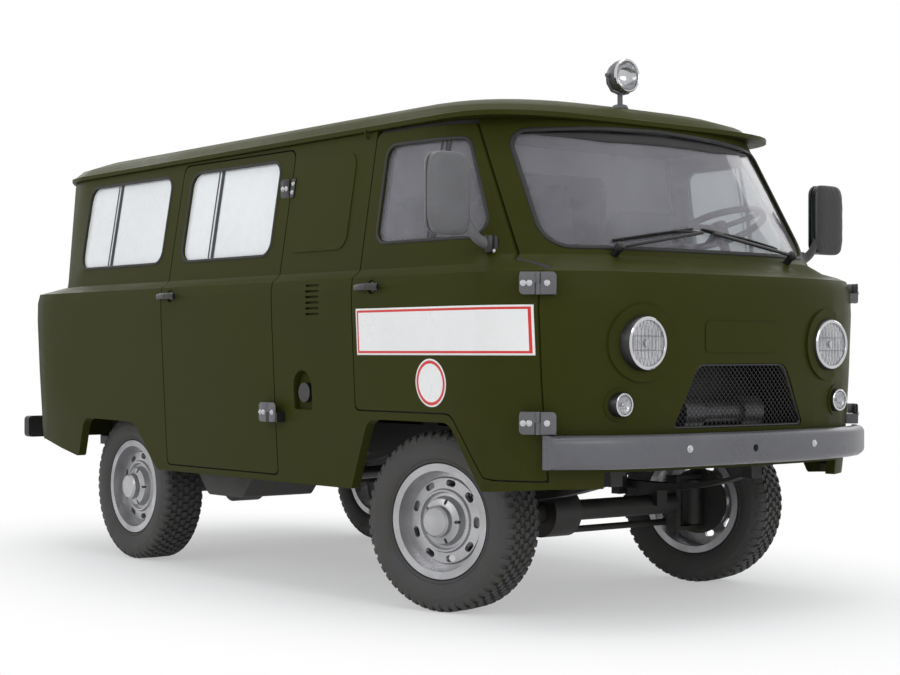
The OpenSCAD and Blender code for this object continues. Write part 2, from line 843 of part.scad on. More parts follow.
// Fixed glass and the diagonal grille lattice
module glazed() intersection() {
  pane(glass_inset, glass_thick);
  children();
}
module windscreen() color(clear) place() glazed() through_front(screen(seat_play));
module quarter_pane() glazed() through_right(window(quarter_rear_x, quarter_front_x, seat_play));
module saloon_pane() glazed() through_right(window(saloon_rear_x, saloon_front_x, seat_play));
module side_glass() color(frost) place() {
  both() quarter_pane();
  left() saloon_pane();
}
mesh_z = (grille_low_z + grille_top_z) / 2;
mesh_reach = grille_low_half + grille_top_half;
mesh_rows = ceil(mesh_reach / 2 / mesh_pitch);
module mesh_bars() for (turn = [-45, 45]) translate([0, 0, mesh_z]) rotate([turn, 0, 0])
  for (i = [-mesh_rows : mesh_rows]) box(0, reach, -mesh_reach, mesh_reach,
    i * mesh_pitch - mesh_bar / 2, i * mesh_pitch + mesh_bar / 2);
module grille_mesh() color(dark) place() difference() {
  intersection() {
    pane(glass_inset, mesh_thick);
    through_front(grille(seat_play));
  }
  difference() {
    through_front(grille(mesh_border));
    mesh_bars();
  }
}

// Doors, each an outer step and a smaller inner part
module stepped() {
  intersection() {
    pane(0, skin);
    children(0);
  }
  intersection() {
    pane(skin / 2, wall - skin / 2);
    children(1);
  }
}
module front_leaf() difference() {
  stepped() {
    through_right(front_door_outline(gap / 2));
    through_right(front_door_outline(gap / 2 + skin));
  }
  through_right(cab_window(0));
  handle_dish(front_handle_x);
}
module side_leaf() difference() {
  stepped() {
    through_right(side_door_outline(gap / 2));
    through_right(side_door_outline(gap / 2 + skin));
  }
  through_right(window(saloon_rear_x, saloon_front_x, 0));
  handle_dish(side_handle_x);
}
module rear_leaf() difference() {
  stepped() {
    through_back(rear_door_outline(gap / 2));
    through_back(rear_door_outline(gap / 2 + skin));
  }
  through_back(rear_window(0));
}
module front_pane() glazed() through_right(cab_window(seat_play));
module rear_pane() glazed() through_back(rear_window(seat_play));
module rear_hung() union() {
  rear_leaf();
  for (z = rear_hinge_z) rear_moving(z);
}
module front_door_right() color(paint) place() front_leaf();
module front_door_left() color(paint) place() left() front_leaf();
module side_door() color(paint) place() side_leaf();
module rear_door_right() color(paint) place() rear_hung();
module rear_door_left() color(paint) place() left() rear_hung();
module front_glass_right() color(clear) place() front_pane();
module front_glass_left() color(clear) place() left() front_pane();
module side_door_glass() color(frost) place() saloon_pane();
module rear_glass_right() color(frost) place() rear_pane();
module rear_glass_left() color(frost) place() left() rear_pane();

// Hinges: a fixed half with its pin and a moving half on each axis
front_pin = [door_front_x + hinge_ahead, -half + front_hinge_tuck];
side_pin = [side_door_front_x + gap, -half - side_hinge_out];
rear_pin = [-tail_x + rear_hinge_ahead, -rear_door_half - horn_play];
barrel = 9;
pin = 5;
pin_play = 0.5;
leaf_half = leaf_height / 2;
leaf_turn = 46;
front_hinge_z = [front_hinge_low_z, front_hinge_high_z];
rear_hinge_z = [rear_hinge_low_z, rear_hinge_high_z];
module fixed_barrel(p, z) translate([p[0], p[1], z]) {
  cylinder(h = leaf_half - pin_play, r = barrel);
  cylinder(h = leaf_height - pin, r = pin);
}
module pin_bore(p, z) translate([p[0], p[1], z]) cylinder(h = leaf_height * 2, r = pin + pin_play);
module moving_barrel(p, z) translate([p[0], p[1], z + leaf_half]) cylinder(h = leaf_half, r = barrel);
module lifted(x0, x1, y0, y1) intersection() {
  loft(walls, -lift_off);
  box(x0, x1, y0, y1, 0, sky);
}
module front_moving(z) seated() difference() {
  union() {
    moving_barrel(front_pin, z);
    translate([front_pin[0], front_pin[1], z + leaf_half]) rotate([0, 0, leaf_turn + 180])
      box(0, leaf_long, -leaf_deep, pin, 0, leaf_half);
  }
  pin_bore(front_pin, z);
  lifted(door_front_x - gap, reach, -reach, 0);
}
module front_fixed(z) seated() {
  fixed_barrel(front_pin, z);
  translate([front_pin[0], front_pin[1], z]) rotate([0, 0, leaf_turn])
    box(0, leaf_long, -pin, leaf_deep, 0, leaf_half - pin_play);
}
module side_moving(z) seated() difference() {
  union() {
    moving_barrel(side_pin, z);
    box(side_pin[0] - leaf_long, side_pin[0], side_pin[1] - pin, side_pin[1] + leaf_deep,
      z + leaf_half, z + leaf_height);
  }
  pin_bore(side_pin, z);
  lifted(side_door_front_x - gap, 0, -reach, 0);
}
module side_fixed(z) seated() {
  fixed_barrel(side_pin, z);
  box(side_pin[0], side_pin[0] + leaf_long, side_pin[1] - pin, side_pin[1] + leaf_deep,
    z, z + leaf_half - pin_play);
}
module rear_moving(z) difference() {
  union() {
    moving_barrel(rear_pin, z);
    box(rear_pin[0] - pin, rear_pin[0] + leaf_deep * 2, rear_pin[1], rear_pin[1] + leaf_long,
      z + leaf_half, z + leaf_height);
  }
  pin_bore(rear_pin, z);
  lifted(-far, 0, -reach, -rear_door_half + gap);
  loft(walls, seat_depth);
}
module rear_fixed(z) seated() {
  fixed_barrel(rear_pin, z);
  box(rear_pin[0] - pin, rear_pin[0] + leaf_deep * 2, rear_pin[1] - leaf_long, rear_pin[1],
    z, z + leaf_half - pin_play);
}
module upper_strap(x0, x1) seated() intersection() {
  loft(walls, -lift_off);
  through_right(frame(x0, x1, side_strap_z, side_strap_z + leaf_height, tight, tight));
}

// Door handles turning over a round dish, and mirrors on a bent arm
front_handle_x = door_rear_x + front_handle_ahead;
side_handle_x = side_door_rear_x + side_handle_ahead;
dish_y = -half + dish_deep;
module handle_dish(x) rod([x, -reach, handle_z], [x, dish_y, handle_z], dish_radius);
module handle(x) {
  rod([x, -half - handle_out, handle_z], [x, dish_y - seat_play, handle_z], handle_boss);
  translate([0, -half - handle_out + handle_thick, 0]) rotate([90, 0, 0])
    linear_extrude(height = handle_thick) polygon(frame(x - handle_boss, x + handle_long, handle_z - handle_boss, handle_z + handle_boss,
      handle_round, handle_round));
}
mirror_base_share = 0.45;
post_share = 1.3;
mirror_foot = [mirror_x + mirror_foot_ahead, -half + mirror_foot_in, cab_window_low_z - mirror_foot_drop];
mirror_mid = [mirror_x + mirror_foot_ahead, -mirror_y, mirror_z - mirror_height / 2 - mirror_arm * 2];
module mirror_layer(x, depth, g) translate([x, -mirror_y, mirror_z]) rotate([90, 0, 90])
  linear_extrude(height = depth) polygon(frame(-mirror_width / 2 + g, mirror_width / 2 - g,
    -mirror_height / 2 + g, mirror_height / 2 - g, mirror_round - g, mirror_round - g));
module mirror_set() {
  difference() {
    union() {
      mirror_layer(mirror_x - mirror_depth / 2, mirror_depth - mirror_crown, 0);
      mirror_layer(mirror_x, mirror_depth / 2, mirror_crown);
    }
    mirror_layer(mirror_x - mirror_depth, mirror_depth / 2 + mirror_glass_deep, mirror_rim);
  }
  seated() rod(mirror_foot, mirror_mid, mirror_arm);
  rod(mirror_mid - [0, 0, mirror_arm * 2], mirror_mid + [0, 0, mirror_height / 4], mirror_arm * post_share);
  seated() rod(mirror_foot, mirror_foot + (mirror_mid - mirror_foot) * mirror_base_share, mirror_arm * 2);
}
module front_hardware() {
  for (z = front_hinge_z) front_moving(z);
  handle(front_handle_x);
  mirror_set();
}
module front_hardware_right() color(dark) place() front_hardware();
module front_hardware_left() color(dark) place() left() front_hardware();
module side_hardware() color(dark) place() {
  side_moving(side_hinge_z);
  handle(side_handle_x);
  upper_strap(side_door_front_x - gap - leaf_long, side_door_front_x - gap);
}

// Fixed hinge halves, wipers and the filler cap
wiper_x = nose_x - cowl_inset;
wiper_pivot = [wiper_x + wiper_arm / 2, -wiper_y, wiper_z + wiper_arm];
wiper_tip = [wiper_x - wiper_arm, -wiper_tip_y, wiper_z + wiper_rise];
module wiper() seated() {
  rod(wiper_pivot, wiper_tip, wiper_arm);
  rod(wiper_pivot, wiper_pivot - [wiper_rise, 0, wiper_rise], wiper_arm * 2);
}
module body_fittings() color(dark) place() {
  both() wiper();
  both() for (z = front_hinge_z) front_fixed(z);
  side_fixed(side_hinge_z);
  upper_strap(side_door_front_x + gap, blind_rear_x - gap / 2);
  both() for (z = rear_hinge_z) rear_fixed(z);
  rod([niche_x, niche_floor_y - filler_high, filler_z], [niche_x, niche_floor_y - seat_play, filler_z],
    filler_radius);
}

// Lamps turned about their own axis: a housing, a bezel and a domed lens
lens_shares = [[0.92, 0.55], [0.66, 0.25], [0.36, 0.08], [0, 0]];
function lamp_line(r, back, rim) = concat(
  [[0, -back], [r, -back], [r, -rim], [r - rim / 2, 0], [r - rim, 0]],
  [for (s = lens_shares) [(r - rim) * s[0], -rim * s[1]]]);
module turned(at, line) translate(at) rotate([0, 90, 0]) rotate_extrude() polygon(line);
module seated_on(rise) difference() {
  children();
  loft(walls, -rise - seat_play);
}
module headlamps() color(steel) place() both() seated_on(boss_rise)
  turned([lamp_x, -lamp_y, lamp_z], lamp_line(lamp_radius, lamp_back, lamp_rim));
module tail_lamp() difference() {
  intersection() {
    pane(-tail_lamp_deep, tail_lamp_deep - seat_play);
    through_back(frame(-tail_lamp_y - tail_lamp_width / 2, -tail_lamp_y + tail_lamp_width / 2,
      tail_lamp_z - tail_lamp_height / 2, tail_lamp_z + tail_lamp_height / 2, edge_round, edge_round));
  }
  difference() {
    box(-far, 0, -reach, 0, tail_lamp_z, tail_lamp_z + tight);
    loft(walls, tight - tail_lamp_deep);
  }
}
module signal_lamps() color(frost) place() both() {
  seated_on(emboss)
    turned([signal_x, -signal_y, signal_z], lamp_line(signal_radius, lamp_back, signal_rim));
  tail_lamp();
}
spot_back_share = 0.55;
module spot_lamp() color(steel) place() {
  turned([spot_x + spot_depth / 2, 0, spot_z], concat(
    [[0, -spot_depth], [spot_radius * spot_back_share, -spot_depth], [spot_radius, -spot_depth / 2]],
    [for (i = [2 : 8]) lamp_line(spot_radius, spot_depth, signal_rim)[i]]));
  difference() {
    rod([spot_x, 0, eave_z], [spot_x, 0, spot_z - spot_radius / 2], spot_post);
    loft(roof_levels, 0);
    box(-far, far, -reach, reach, 0, dome_z + roof_wall);
  }
}

// Front bumper: a rounded section swept along the bumper's curve, with the starting handle's hole
bumper_steps = 16;
function bumper_arc(d) = [for (i = [0 : bumper_steps]) let (y = bumper_half * (2 * i / bumper_steps - 1))
  [front_overhang - bumper_curve
    + (bumper_curve - d) * pow(1 - pow(abs(y) / (bumper_span - d), 3), 1 / 3), y]];
bumper_section = outline([
  [0, bumper_low_z, bumper_round], [bumper_thick, bumper_low_z, 0],
  [bumper_thick, bumper_high_z, 0], [0, bumper_high_z, bumper_round]], 0);
module swept_bumper() {
  count = len(bumper_section);
  last = bumper_steps * count;
  pts = [for (i = [0 : bumper_steps]) for (s = bumper_section)
    let (p = bumper_arc(s[0])[i]) [p[0], p[1], s[1]]];
  sides = [for (i = [0 : bumper_steps - 1]) for (k = [0 : count - 1]) let (
    a = i * count + k,
    b = i * count + (k + 1) % count)
    each [[a, b, a + count], [b, b + count, a + count]]];
  faces = concat(sides, [[for (k = [count - 1 : -1 : 0]) k]], [[for (k = [0 : count - 1]) last + k]]);
  polyhedron(points = pts, faces = faces, convexity = 4);
}
module front_bumper() color(steel) place() difference() {
  swept_bumper();
  ahead(0, (bumper_low_z + bumper_high_z) / 2, crank_hole);
}
tail_face = -wheelbase - rear_overhang;
tow_x = tail_face + rear_bumper_thick;
module rear_bumpers() color(dark) place() both() translate([tail_face, 0, 0]) rotate([90, 0, 90])
  linear_extrude(height = rear_bumper_thick) polygon(frame(-rear_bumper_out, -rear_bumper_in,
    rear_bumper_low_z, rear_bumper_high_z, edge_round, edge_round));

// Chassis frame: rails, horns, body blocks and spring hangers
rail_front = nose_x - rail_front_gap;
rail_back = -tail_x + rail_back_gap;
cross_half = 35;
block_half = 50;
hanger = 32;
eye_flat = 26;
overlap = 1;
spring_z = hub_z + axle_radius + 10;
spring_eye_z = spring_z + spring_rise + 15;
cross_drop = 20;
cross_places = [rail_front - 60, rear_x + 1240, rear_x + 420, rear_x - 480, rail_back + 60];
block_places = [320, -480, rear_x + 1050, rear_x + 250, rear_x - 600];
engine_cross = 230;
engine_low_z = rail_low_z + 40;
arm_low_z = rail_low_z - 60;
arm_high_z = rail_low_z - 16;
arm_front = rail_back + 200;
arm_joint = rail_back + 20;
cross_reach = rail_in - seat_play;
module rail(x0, x1, z0, z1) box(x0, x1, -rail_out, -rail_in, z0, z1);
module chassis_frame() color(dark) place() both() {
  rail(rail_back, rail_front, rail_low_z, rail_high_z);
  for (x = block_places) rail(x - block_half, x + block_half, rail_high_z - overlap, floor_z);
  for (a = [0, rear_x]) for (s = [-spring_half, spring_half])
    rail(a + s - hanger, a + s + hanger, spring_eye_z + eye_flat, rail_low_z + overlap);
  difference() {
    box(rail_front - pin, front_overhang, -horn_out, -horn_in, horn_low, horn_high);
    translate([0, 0, horn_low - overlap]) linear_extrude(height = bumper_high_z - bumper_low_z)
      polygon(concat(bumper_arc(bumper_thick),
      [[front_overhang + reach, bumper_half], [front_overhang + reach, -bumper_half]]));
  }
  rail(tow_x, arm_front, arm_low_z, arm_high_z);
  rail(arm_joint, arm_front, arm_high_z - overlap, rail_low_z + overlap);
  rail(tow_x, tow_x + pin_radius * 2, arm_high_z - overlap, rear_bumper_low_z + block_half);
}

// Cross members, the winch's bed and the tow eye
tow_edge = 38;
tow_half = tow_radius * 3;
tow_low_z = rail_low_z - 55;
tow_high_z = rail_low_z - 12;
tow_joint = rail_back + 26;
tow_front = rail_back + 60;
bed_half = 150;
bed_back = cross_places[0] - cross_half - 40;
module member(x, z0, z1) box(x - cross_half, x + cross_half, -cross_reach, cross_reach, z0, z1);
module cross_members() color(dark) place() difference() {
  union() {
    for (x = cross_places) member(x, rail_low_z + cross_drop, rail_high_z);
    member(engine_cross, rail_low_z, engine_low_z);
    box(bed_back, cross_places[0], -bed_half, bed_half, rail_low_z + cross_drop, rail_high_z);
    box(tow_x - tow_edge, tow_front, -tow_half, tow_half, tow_low_z, tow_high_z);
    box(tow_joint, tow_front, -tow_half, tow_half, tow_high_z - overlap, rail_low_z + cross_drop + overlap);
  }
  translate([tow_x, 0, 0]) cylinder(h = sky, r = tow_radius);
}

// Floor with its raised board, its footwell and the opening for the engine
floor_top = floor_z + floor_thick;
foot_top = foot_z + floor_thick;
hole_half = cover_half - 40;
hole_back = partition_x + partition_thick + 10;
board_margin = 25;
board_thick = 2;
board_half = half - mid_tuck - wall - board_margin * 5;
board_back = -tail_x + tail_curve;
board_front = partition_x - board_margin;
module sheet(x0, x1, z0, z1, inset) intersection() {
  loft(walls, wall + inset);
  box(x0, x1, -reach, reach, z0, z1);
}
module floor_pan() color(dark) place() difference() {
  union() {
    box(board_back, board_front, -board_half, board_half, floor_z, floor_top + board_thick);
    sheet(-far, door_rear_x - gap, floor_z, floor_top, seat_play);
    sheet(door_rear_x - gap * 2, foot_x + floor_thick, floor_z, floor_top, gap * 2);
    sheet(foot_x, door_front_x + gap * 2, foot_z, foot_top, gap * 2);
    sheet(door_front_x + gap, reach, foot_z, foot_top, seat_play);
    sheet(foot_x, foot_x + floor_thick, foot_z, floor_top, gap * 2);
  }
  box(side_door_rear_x - gap * 2, side_door_front_x + gap * 2, -reach, -half + mid_tuck + wall + gap * 4,
    0, sky);
  box(-far, -tail_x + wall * 2, -rear_door_half - gap * 2, rear_door_half + gap * 2, 0, sky);
  box(hole_back, reach, -hole_half, hole_half, 0, sky);
  both() box(foot_x - gap * 2, reach, -rail_out - gap, -rail_in + gap, 0, rail_high_z + gap);
  box(cross_places[0] - cross_half - gap, reach, -rail_out, rail_out, 0, rail_high_z + gap);
}

// Cab interior
module partition() color(paint) place() difference() {
  sheet(partition_x, partition_x + partition_thick, floor_top, sky, seat_play);
  translate([-far / 2, 0, 0]) rotate([90, 0, 90]) linear_extrude(height = far)
    polygon(frame(-rail_out, rail_out, window_low_z, window_top_z - wall, window_round, window_round));
}
dash_front = nose_x - 280;
dash_back = nose_x - 400;
dash_low = cover_top_z + 20;
dash_high = crease_z - 6;
dash_foot_half = cover_half - 40;
column_radius = 20;
column_top = 60;
shaft = 11;
shaft_top = 10;
shaft_end = 100;
column_axis = [sin(wheel_tilt), 0, -cos(wheel_tilt)];
wheel_at = [wheel_x, wheel_y, wheel_z];
column_foot = wheel_at + column_axis * ((wheel_z - foot_top) / cos(wheel_tilt) + column_top);
module dashboard() color(dark) place() {
  difference() {
    box(dash_back, dash_front, -dash_half, dash_half, dash_low, dash_high);
    both() box(dash_back - overlap, dash_front - cover_thick, -dash_half + cover_thick, -cover_half,
      dash_low + cover_thick, dash_high - cover_thick * 4);
  }
  box(dash_back, dash_front, -dash_foot_half, dash_foot_half, cover_top_z, dash_low + overlap);
  difference() {
    union() {
      rod(wheel_at + column_axis * column_top, column_foot, column_radius);
      rod(wheel_at + column_axis * shaft_top, wheel_at + column_axis * shaft_end, shaft);
    }
    box(-far, far, -reach, reach, 0, foot_top);
  }
}
hub_deep = 42;
hub_high = 62;
spoke_turns = [30, 150, 270];
module steering_wheel() color(dark) place() translate(wheel_at) rotate([0, -wheel_tilt, 0]) difference() {
  union() {
    rotate_extrude() translate([wheel_radius - rim_thick, 0]) circle(r = rim_thick);
    for (a = spoke_turns) rotate([0, 0, a])
      box(0, wheel_radius - rim_thick, -rim_thick, rim_thick, -rim_thick / 2, rim_thick / 2);
    translate([0, 0, -hub_deep]) cylinder(h = hub_high, r = rim_thick * 2.5);
  }
  translate([0, 0, -hub_deep - overlap]) cylinder(h = hub_deep - pin / 2, r = shaft + pin_play);
}
base_inset = 20;
module seat_bases() color(dark) place() both()
  box(seat_rear_x + base_inset, seat_front_x - base_inset, -seat_out + base_inset, -seat_in - base_inset,
    floor_top, seat_base_z);
back_lean = 60;
back_thick = 110;
pad_drop = 15;
pad_round = 26;
module cab_seats() color(cloth) place() both() translate([0, -seat_in, 0]) rotate([90, 0, 0])
  linear_extrude(height = seat_out - seat_in) polygon(outline([
    [seat_rear_x, seat_base_z, small_round], [seat_front_x, seat_base_z, edge_round],
    [seat_front_x, seat_top_z, top_round], [seat_rear_x + back_thick, seat_top_z - pad_drop, small_round],
    [seat_rear_x + back_thick - back_lean, seat_back_z, pad_round],
    [seat_rear_x - back_lean / 3, seat_back_z, pad_round]], 0));
cover_back = partition_x + partition_thick;
cover_front = foot_x + 190;
module engine_cover() color(dark) place() difference() {
  box(cover_back, cover_front, -cover_half, cover_half, floor_top, cover_top_z);
  box(cover_back - overlap, cover_front + overlap, -cover_half + cover_thick, cover_half - cover_thick,
    0, cover_top_z - cover_thick);
}

// Engine, radiator and winch
engine_back = cover_back + 10;
engine_front = 330;
engine_half = 240;
engine_top = cover_top_z - 50;
module engine() color(steel) place()
  box(engine_back, engine_front, -engine_half, engine_half, engine_low_z, engine_top);
winch_x = cross_places[0];
radiator_front = winch_x - cross_half - 40;
radiator_thick = 60;
radiator_half = cover_half - 50;
radiator_top = cover_top_z - 30;
module radiator() color(dark) place() box(radiator_front - radiator_thick, radiator_front,
  -radiator_half, radiator_half, rail_low_z + cross_drop, radiator_top);
winch_z = rail_high_z + 75;
winch_core = 44;
winch_bed = 20;
winch_base_half = 220;
flange_in = 110;
flange_out = 215;
bracket_in = 115;
bracket_out = 160;
bracket_half = 30;
module winch_rod(y0, y1, r) rod([winch_x, y0, winch_z], [winch_x, y1, winch_z], r);
module winch() color(steel) place() {
  box(winch_x - cross_half, winch_x + cross_half, -winch_base_half, winch_base_half,
    rail_high_z, rail_high_z + winch_bed);
  winch_rod(-bracket_out, bracket_out, winch_core);
  both() {
    winch_rod(-flange_out, -flange_in, winch_radius);
    box(winch_x - bracket_half, winch_x + bracket_half, -bracket_out, -bracket_in,
      rail_high_z + winch_bed / 2, winch_z);
  }
}

// Axles with their gear housings, spring saddles, brake backplates and yokes
spring_y = (rail_in + rail_out) / 2;
spring_width = 60;
saddle = 62;
yoke_in = 130;
yoke_arm = 100;
yoke_thick = 18;
yoke_half = 30;
yoke_post = 25;
kingpin = pin_radius * 1.5;
kingpin_long = 50;
kingpin_sunk = 5;
backplate = 140;
plate_at = 50;
plate_thick = 6;
nose_reach = 150;
stub_out = 45;
plate_in = 40;
nose_share = 0.45;
case_share = 0.7;
module axle_common(x) translate([x, 0, 0]) {
  rod([0, diff_y - diff_radius * case_share, hub_z], [0, diff_y + diff_radius * case_share, hub_z],
    diff_radius);
  both() box(-saddle, saddle, -spring_y - spring_width / 2, -spring_y + spring_width / 2, hub_z, spring_z);
}
module yoke_box(y0, y1, z0, z1)
  box(-yoke_half, yoke_half, -kingpin_y + y0, -kingpin_y + y1, hub_z + z0, hub_z + z1);
module kingpin_at(z) translate([0, -kingpin_y, hub_z + z]) cylinder(h = kingpin_long, r = kingpin);
module front_axle() color(dark) place() {
  axle_common(0);
  rod([0, diff_y, hub_z], [-nose_reach, diff_y, hub_z], diff_radius * nose_share);
  rod([0, -kingpin_y + yoke_in - pin, hub_z], [0, kingpin_y - yoke_in + pin, hub_z], axle_radius);
  both() {
    yoke_box(yoke_in - yoke_post, yoke_in, -yoke_arm - yoke_thick, yoke_arm + yoke_thick);
    yoke_box(-yoke_half, yoke_in, yoke_arm, yoke_arm + yoke_thick);
    yoke_box(-yoke_half, yoke_in, -yoke_arm - yoke_thick, -yoke_arm);
    kingpin_at(yoke_arm + kingpin_sunk - kingpin_long);
    kingpin_at(-yoke_arm - kingpin_sunk);
  }
}
module rear_axle() color(dark) place() {
  axle_common(rear_x);
  rod([rear_x, diff_y, hub_z], [rear_x + nose_reach, diff_y, hub_z], diff_radius * nose_share);
  rod([rear_x, -track / 2 + plate_in, hub_z], [rear_x, track / 2 - plate_in, hub_z], axle_radius);
  rod([rear_x, -track / 2 - stub_out, hub_z], [rear_x, track / 2 + stub_out, hub_z], spindle_radius);
  both() rod([rear_x, -track / 2 + plate_in - plate_thick, hub_z], [rear_x, -track / 2 + plate_in, hub_z],
    backplate);
}

// Leaf springs, thinner to their ends, with eyes, and dampers
leaf_gap = 12;
leaf_pack = 34;
leaf_taper = 22;
leaf_steps = 6;
clamp_high = 30;
eye_drop = 15;
function leaf(s) = [s * spring_half, spring_z + leaf_gap + spring_rise * s * s];
function leaf_top(s) = leaf(s) + [0, leaf_pack - leaf_taper * abs(s)];
spring_line = concat(
  [for (i = [-leaf_steps : leaf_steps]) leaf(i / leaf_steps)],
  [for (i = [leaf_steps : -1 : -leaf_steps]) leaf_top(i / leaf_steps)]);
module spring_box(x0, x1, z0, z1)
  box(x0, x1, -spring_y - spring_width / 2, -spring_y + spring_width / 2, z0, z1);
module spring_set(x) translate([x, 0, 0]) both() {
  translate([0, -spring_y + spring_width / 2, 0]) rotate([90, 0, 0]) linear_extrude(height = spring_width)
    polygon(spring_line);
  spring_box(-saddle, saddle, spring_z, spring_z + clamp_high);
  for (s = [-spring_half, spring_half])
    spring_box(s - eye_flat, s + eye_flat, spring_eye_z - eye_drop, spring_eye_z + eye_flat);
}
damper_half = 24;
damper_at = 130;
damper_foot = spring_z - 10;
damper_top = rail_high_z - 20;
module damper(x) translate([x, 0, 0]) both()
  box(-damper_half, damper_half, -rail_in, -rail_in + damper_half * 2, damper_foot, damper_top);
module suspension() color(dark) place() {
  spring_set(0);
  spring_set(rear_x);
  damper(-damper_at);
  damper(rear_x + damper_at);
}

// Gearbox, transfer case and propeller shafts
gear_back = -700;
gear_half = 130;
gear_low = rail_low_z - 40;
gear_top = floor_z - 20;
case_back = -1000;
case_z = 470;
case_y = diff_y - 10;
case_in = 70;
case_deep = 75;
shaft_radius = 28;
flange_long = 30;
shaft_sunk = 14;
module driveline() color(steel) place() {
  box(gear_back, engine_back, -gear_half, gear_half, gear_low, gear_top);
  box(case_back, gear_back + overlap, case_y - case_in, gear_half, case_z - case_deep, gear_top - cross_drop);
  rod([gear_back + overlap, case_y, case_z], [-nose_reach - shaft_sunk, diff_y, hub_z], shaft_radius);
  rod([case_back - overlap, case_y, case_z], [rear_x + nose_reach + shaft_sunk, diff_y, hub_z], shaft_radius);
  rod([-nose_reach - flange_long, diff_y, hub_z], [-nose_reach, diff_y, hub_z], diff_radius * nose_share);
  rod([rear_x + nose_reach, diff_y, hub_z], [rear_x + nose_reach + flange_long, diff_y, hub_z],
    diff_radius * nose_share);
}

// Fuel tanks and exhaust
tank_out = 800;
tank_low = 350;
tank_high = 650;
tank_back = rear_x + 500;
tank_front = rear_x + 1120;
tank_rake = 170;
tank_side = tank_high - 120;
module fuel_tanks() color(dark) place() both() translate([0, -rail_out, 0]) rotate([90, 0, 0])
  linear_extrude(height = tank_out - rail_out) polygon(outline([
    [tank_back + tank_rake, tank_low], [tank_front - tank_rake, tank_low], [tank_front, tank_side],
    [tank_front, tank_high, edge_round], [tank_back, tank_high, edge_round],
    [tank_back, tank_side]], top_round));
pipe = 24;
pipe_in = 60;
pipe_out = 50;
pipe_drop = 30;
muffler_y = 590;
muffler_z = 530;
muffler_radius = 85;
muffler_back = rear_x + 1220;
muffler_front = muffler_back + 580;
strap_back = muffler_back + 260;
strap_front = strap_back + 60;
strap_low = muffler_z + 40;
strap_high = muffler_z + 70;
module exhaust() color(steel) place() {
  rod([muffler_back, muffler_y, muffler_z], [muffler_front, muffler_y, muffler_z], muffler_radius);
  rod([muffler_front - pin, muffler_y, muffler_z], [muffler_front + pipe_in, muffler_y, muffler_z], pipe);
  rod([muffler_back + pipe, muffler_y, muffler_z - pipe_drop],
    [muffler_back - pipe_out, half - tail_pipe_in, muffler_z - pipe_drop * 2], pipe);
  box(strap_back, strap_front, rail_out, muffler_y, strap_low, strap_high);
}

// Front knuckles and tie rod, turned to the resting angle
housing = 42;
housing_gap = 6;
housing_share = 0.8;
kingpin_sleeve = kingpin + pin_play;
sleeve_long = kingpin_long + housing_gap * 2;
arm_half = 15;
arm_end = 18;
arm_high = 14;
ball_long = 60;
eye_radius = 24;
eye_half = 17;
ball_mid = 38;
module steer(s) translate([0, s * kingpin_y, hub_z]) rotate([0, 0, steer_rest]) children();
module knuckle(s) steer(s) difference() {
  union() {
    translate([0, 0, -yoke_arm + housing_gap]) cylinder(h = (yoke_arm - housing_gap) * 2, r = housing);
    rod([0, 0, 0], [0, s * (kingpin_offset + stub_out), 0], spindle_radius);
    rod([0, 0, 0], [0, s * plate_at, 0], housing * housing_share);
    rod([0, s * (plate_at - plate_thick), 0], [0, s * plate_at, 0], backplate);
    box(-arm_length - arm_end, 0, -arm_half, arm_half, -arm_drop - arm_high, -arm_drop + arm_high);
    translate([-arm_length, 0, -arm_drop - ball_long]) cylinder(h = ball_long, r = pin_radius);
  }
  translate([0, 0, -yoke_arm - housing_gap]) cylinder(h = sleeve_long, r = kingpin_sleeve);
  translate([0, 0, yoke_arm + housing_gap - sleeve_long]) cylinder(h = sleeve_long, r = kingpin_sleeve);
}
module knuckle_right() color(dark) place() knuckle(-1);
module knuckle_left() color(dark) place() knuckle(1);
function arm_pin(s) = [-arm_length * cos(steer_rest), s * kingpin_y - arm_length * sin(steer_rest),
  hub_z - arm_drop - ball_mid];
module tie_rod() color(dark) place() difference() {
  union() {
    rod(arm_pin(-1) + [0, arm_end, 0], arm_pin(1) - [0, arm_end, 0], tie_radius);
    for (s = [-1, 1]) translate(arm_pin(s) - [0, 0, eye_half]) cylinder(h = eye_half * 2, r = eye_radius);
  }
  for (s = [-1, 1]) translate(arm_pin(s) - [0, 0, ball_long / 2])
    cylinder(h = ball_long, r = pin_radius + pin_play);
}

// Tyres: a turned carcass with two rows of lugs over its shoulders
module hub(s, front) translate([front ? 0 : rear_x, 0, 0]) translate([0, s * kingpin_y, hub_z])
  rotate([0, 0, front ? steer_rest : 0]) translate([0, s * kingpin_offset, 0])
    rotate([-s * 90, 0, 0]) children();
tyre_half = tyre_width / 2;
bead_half = rim_half - 10.5;
base_radius = tyre_radius - lug_height;
lug_top = sqrt(tyre_radius * tyre_radius - lug_half * lug_half);
lug_foot = base_radius - lug_height;
function mirrored(p) = concat(p, [for (i = [len(p) - 1 : -1 : 0]) [p[i][0], -p[i][1]]]);
bead_play = 1.5;
bead_lip = 8;
wall_high = 75;
shoulder_low = tyre_radius - 42;
shoulder_high = tyre_radius - 20;
lug_edge = tyre_radius - 10;
lug_end = tyre_radius - 34;
shoulder_in = 16;
tread_in = 36;
tyre_line = mirrored([
  [bead_radius, bead_half], [flange_radius + bead_play, bead_half],
  [flange_radius + bead_lip, rim_half + bead_lip / 2], [bead_radius + wall_high, tyre_half],
  [shoulder_low, tyre_half - bead_lip / 2], [shoulder_high, tyre_half - shoulder_in],
  [base_radius, tyre_half - tread_in]]);
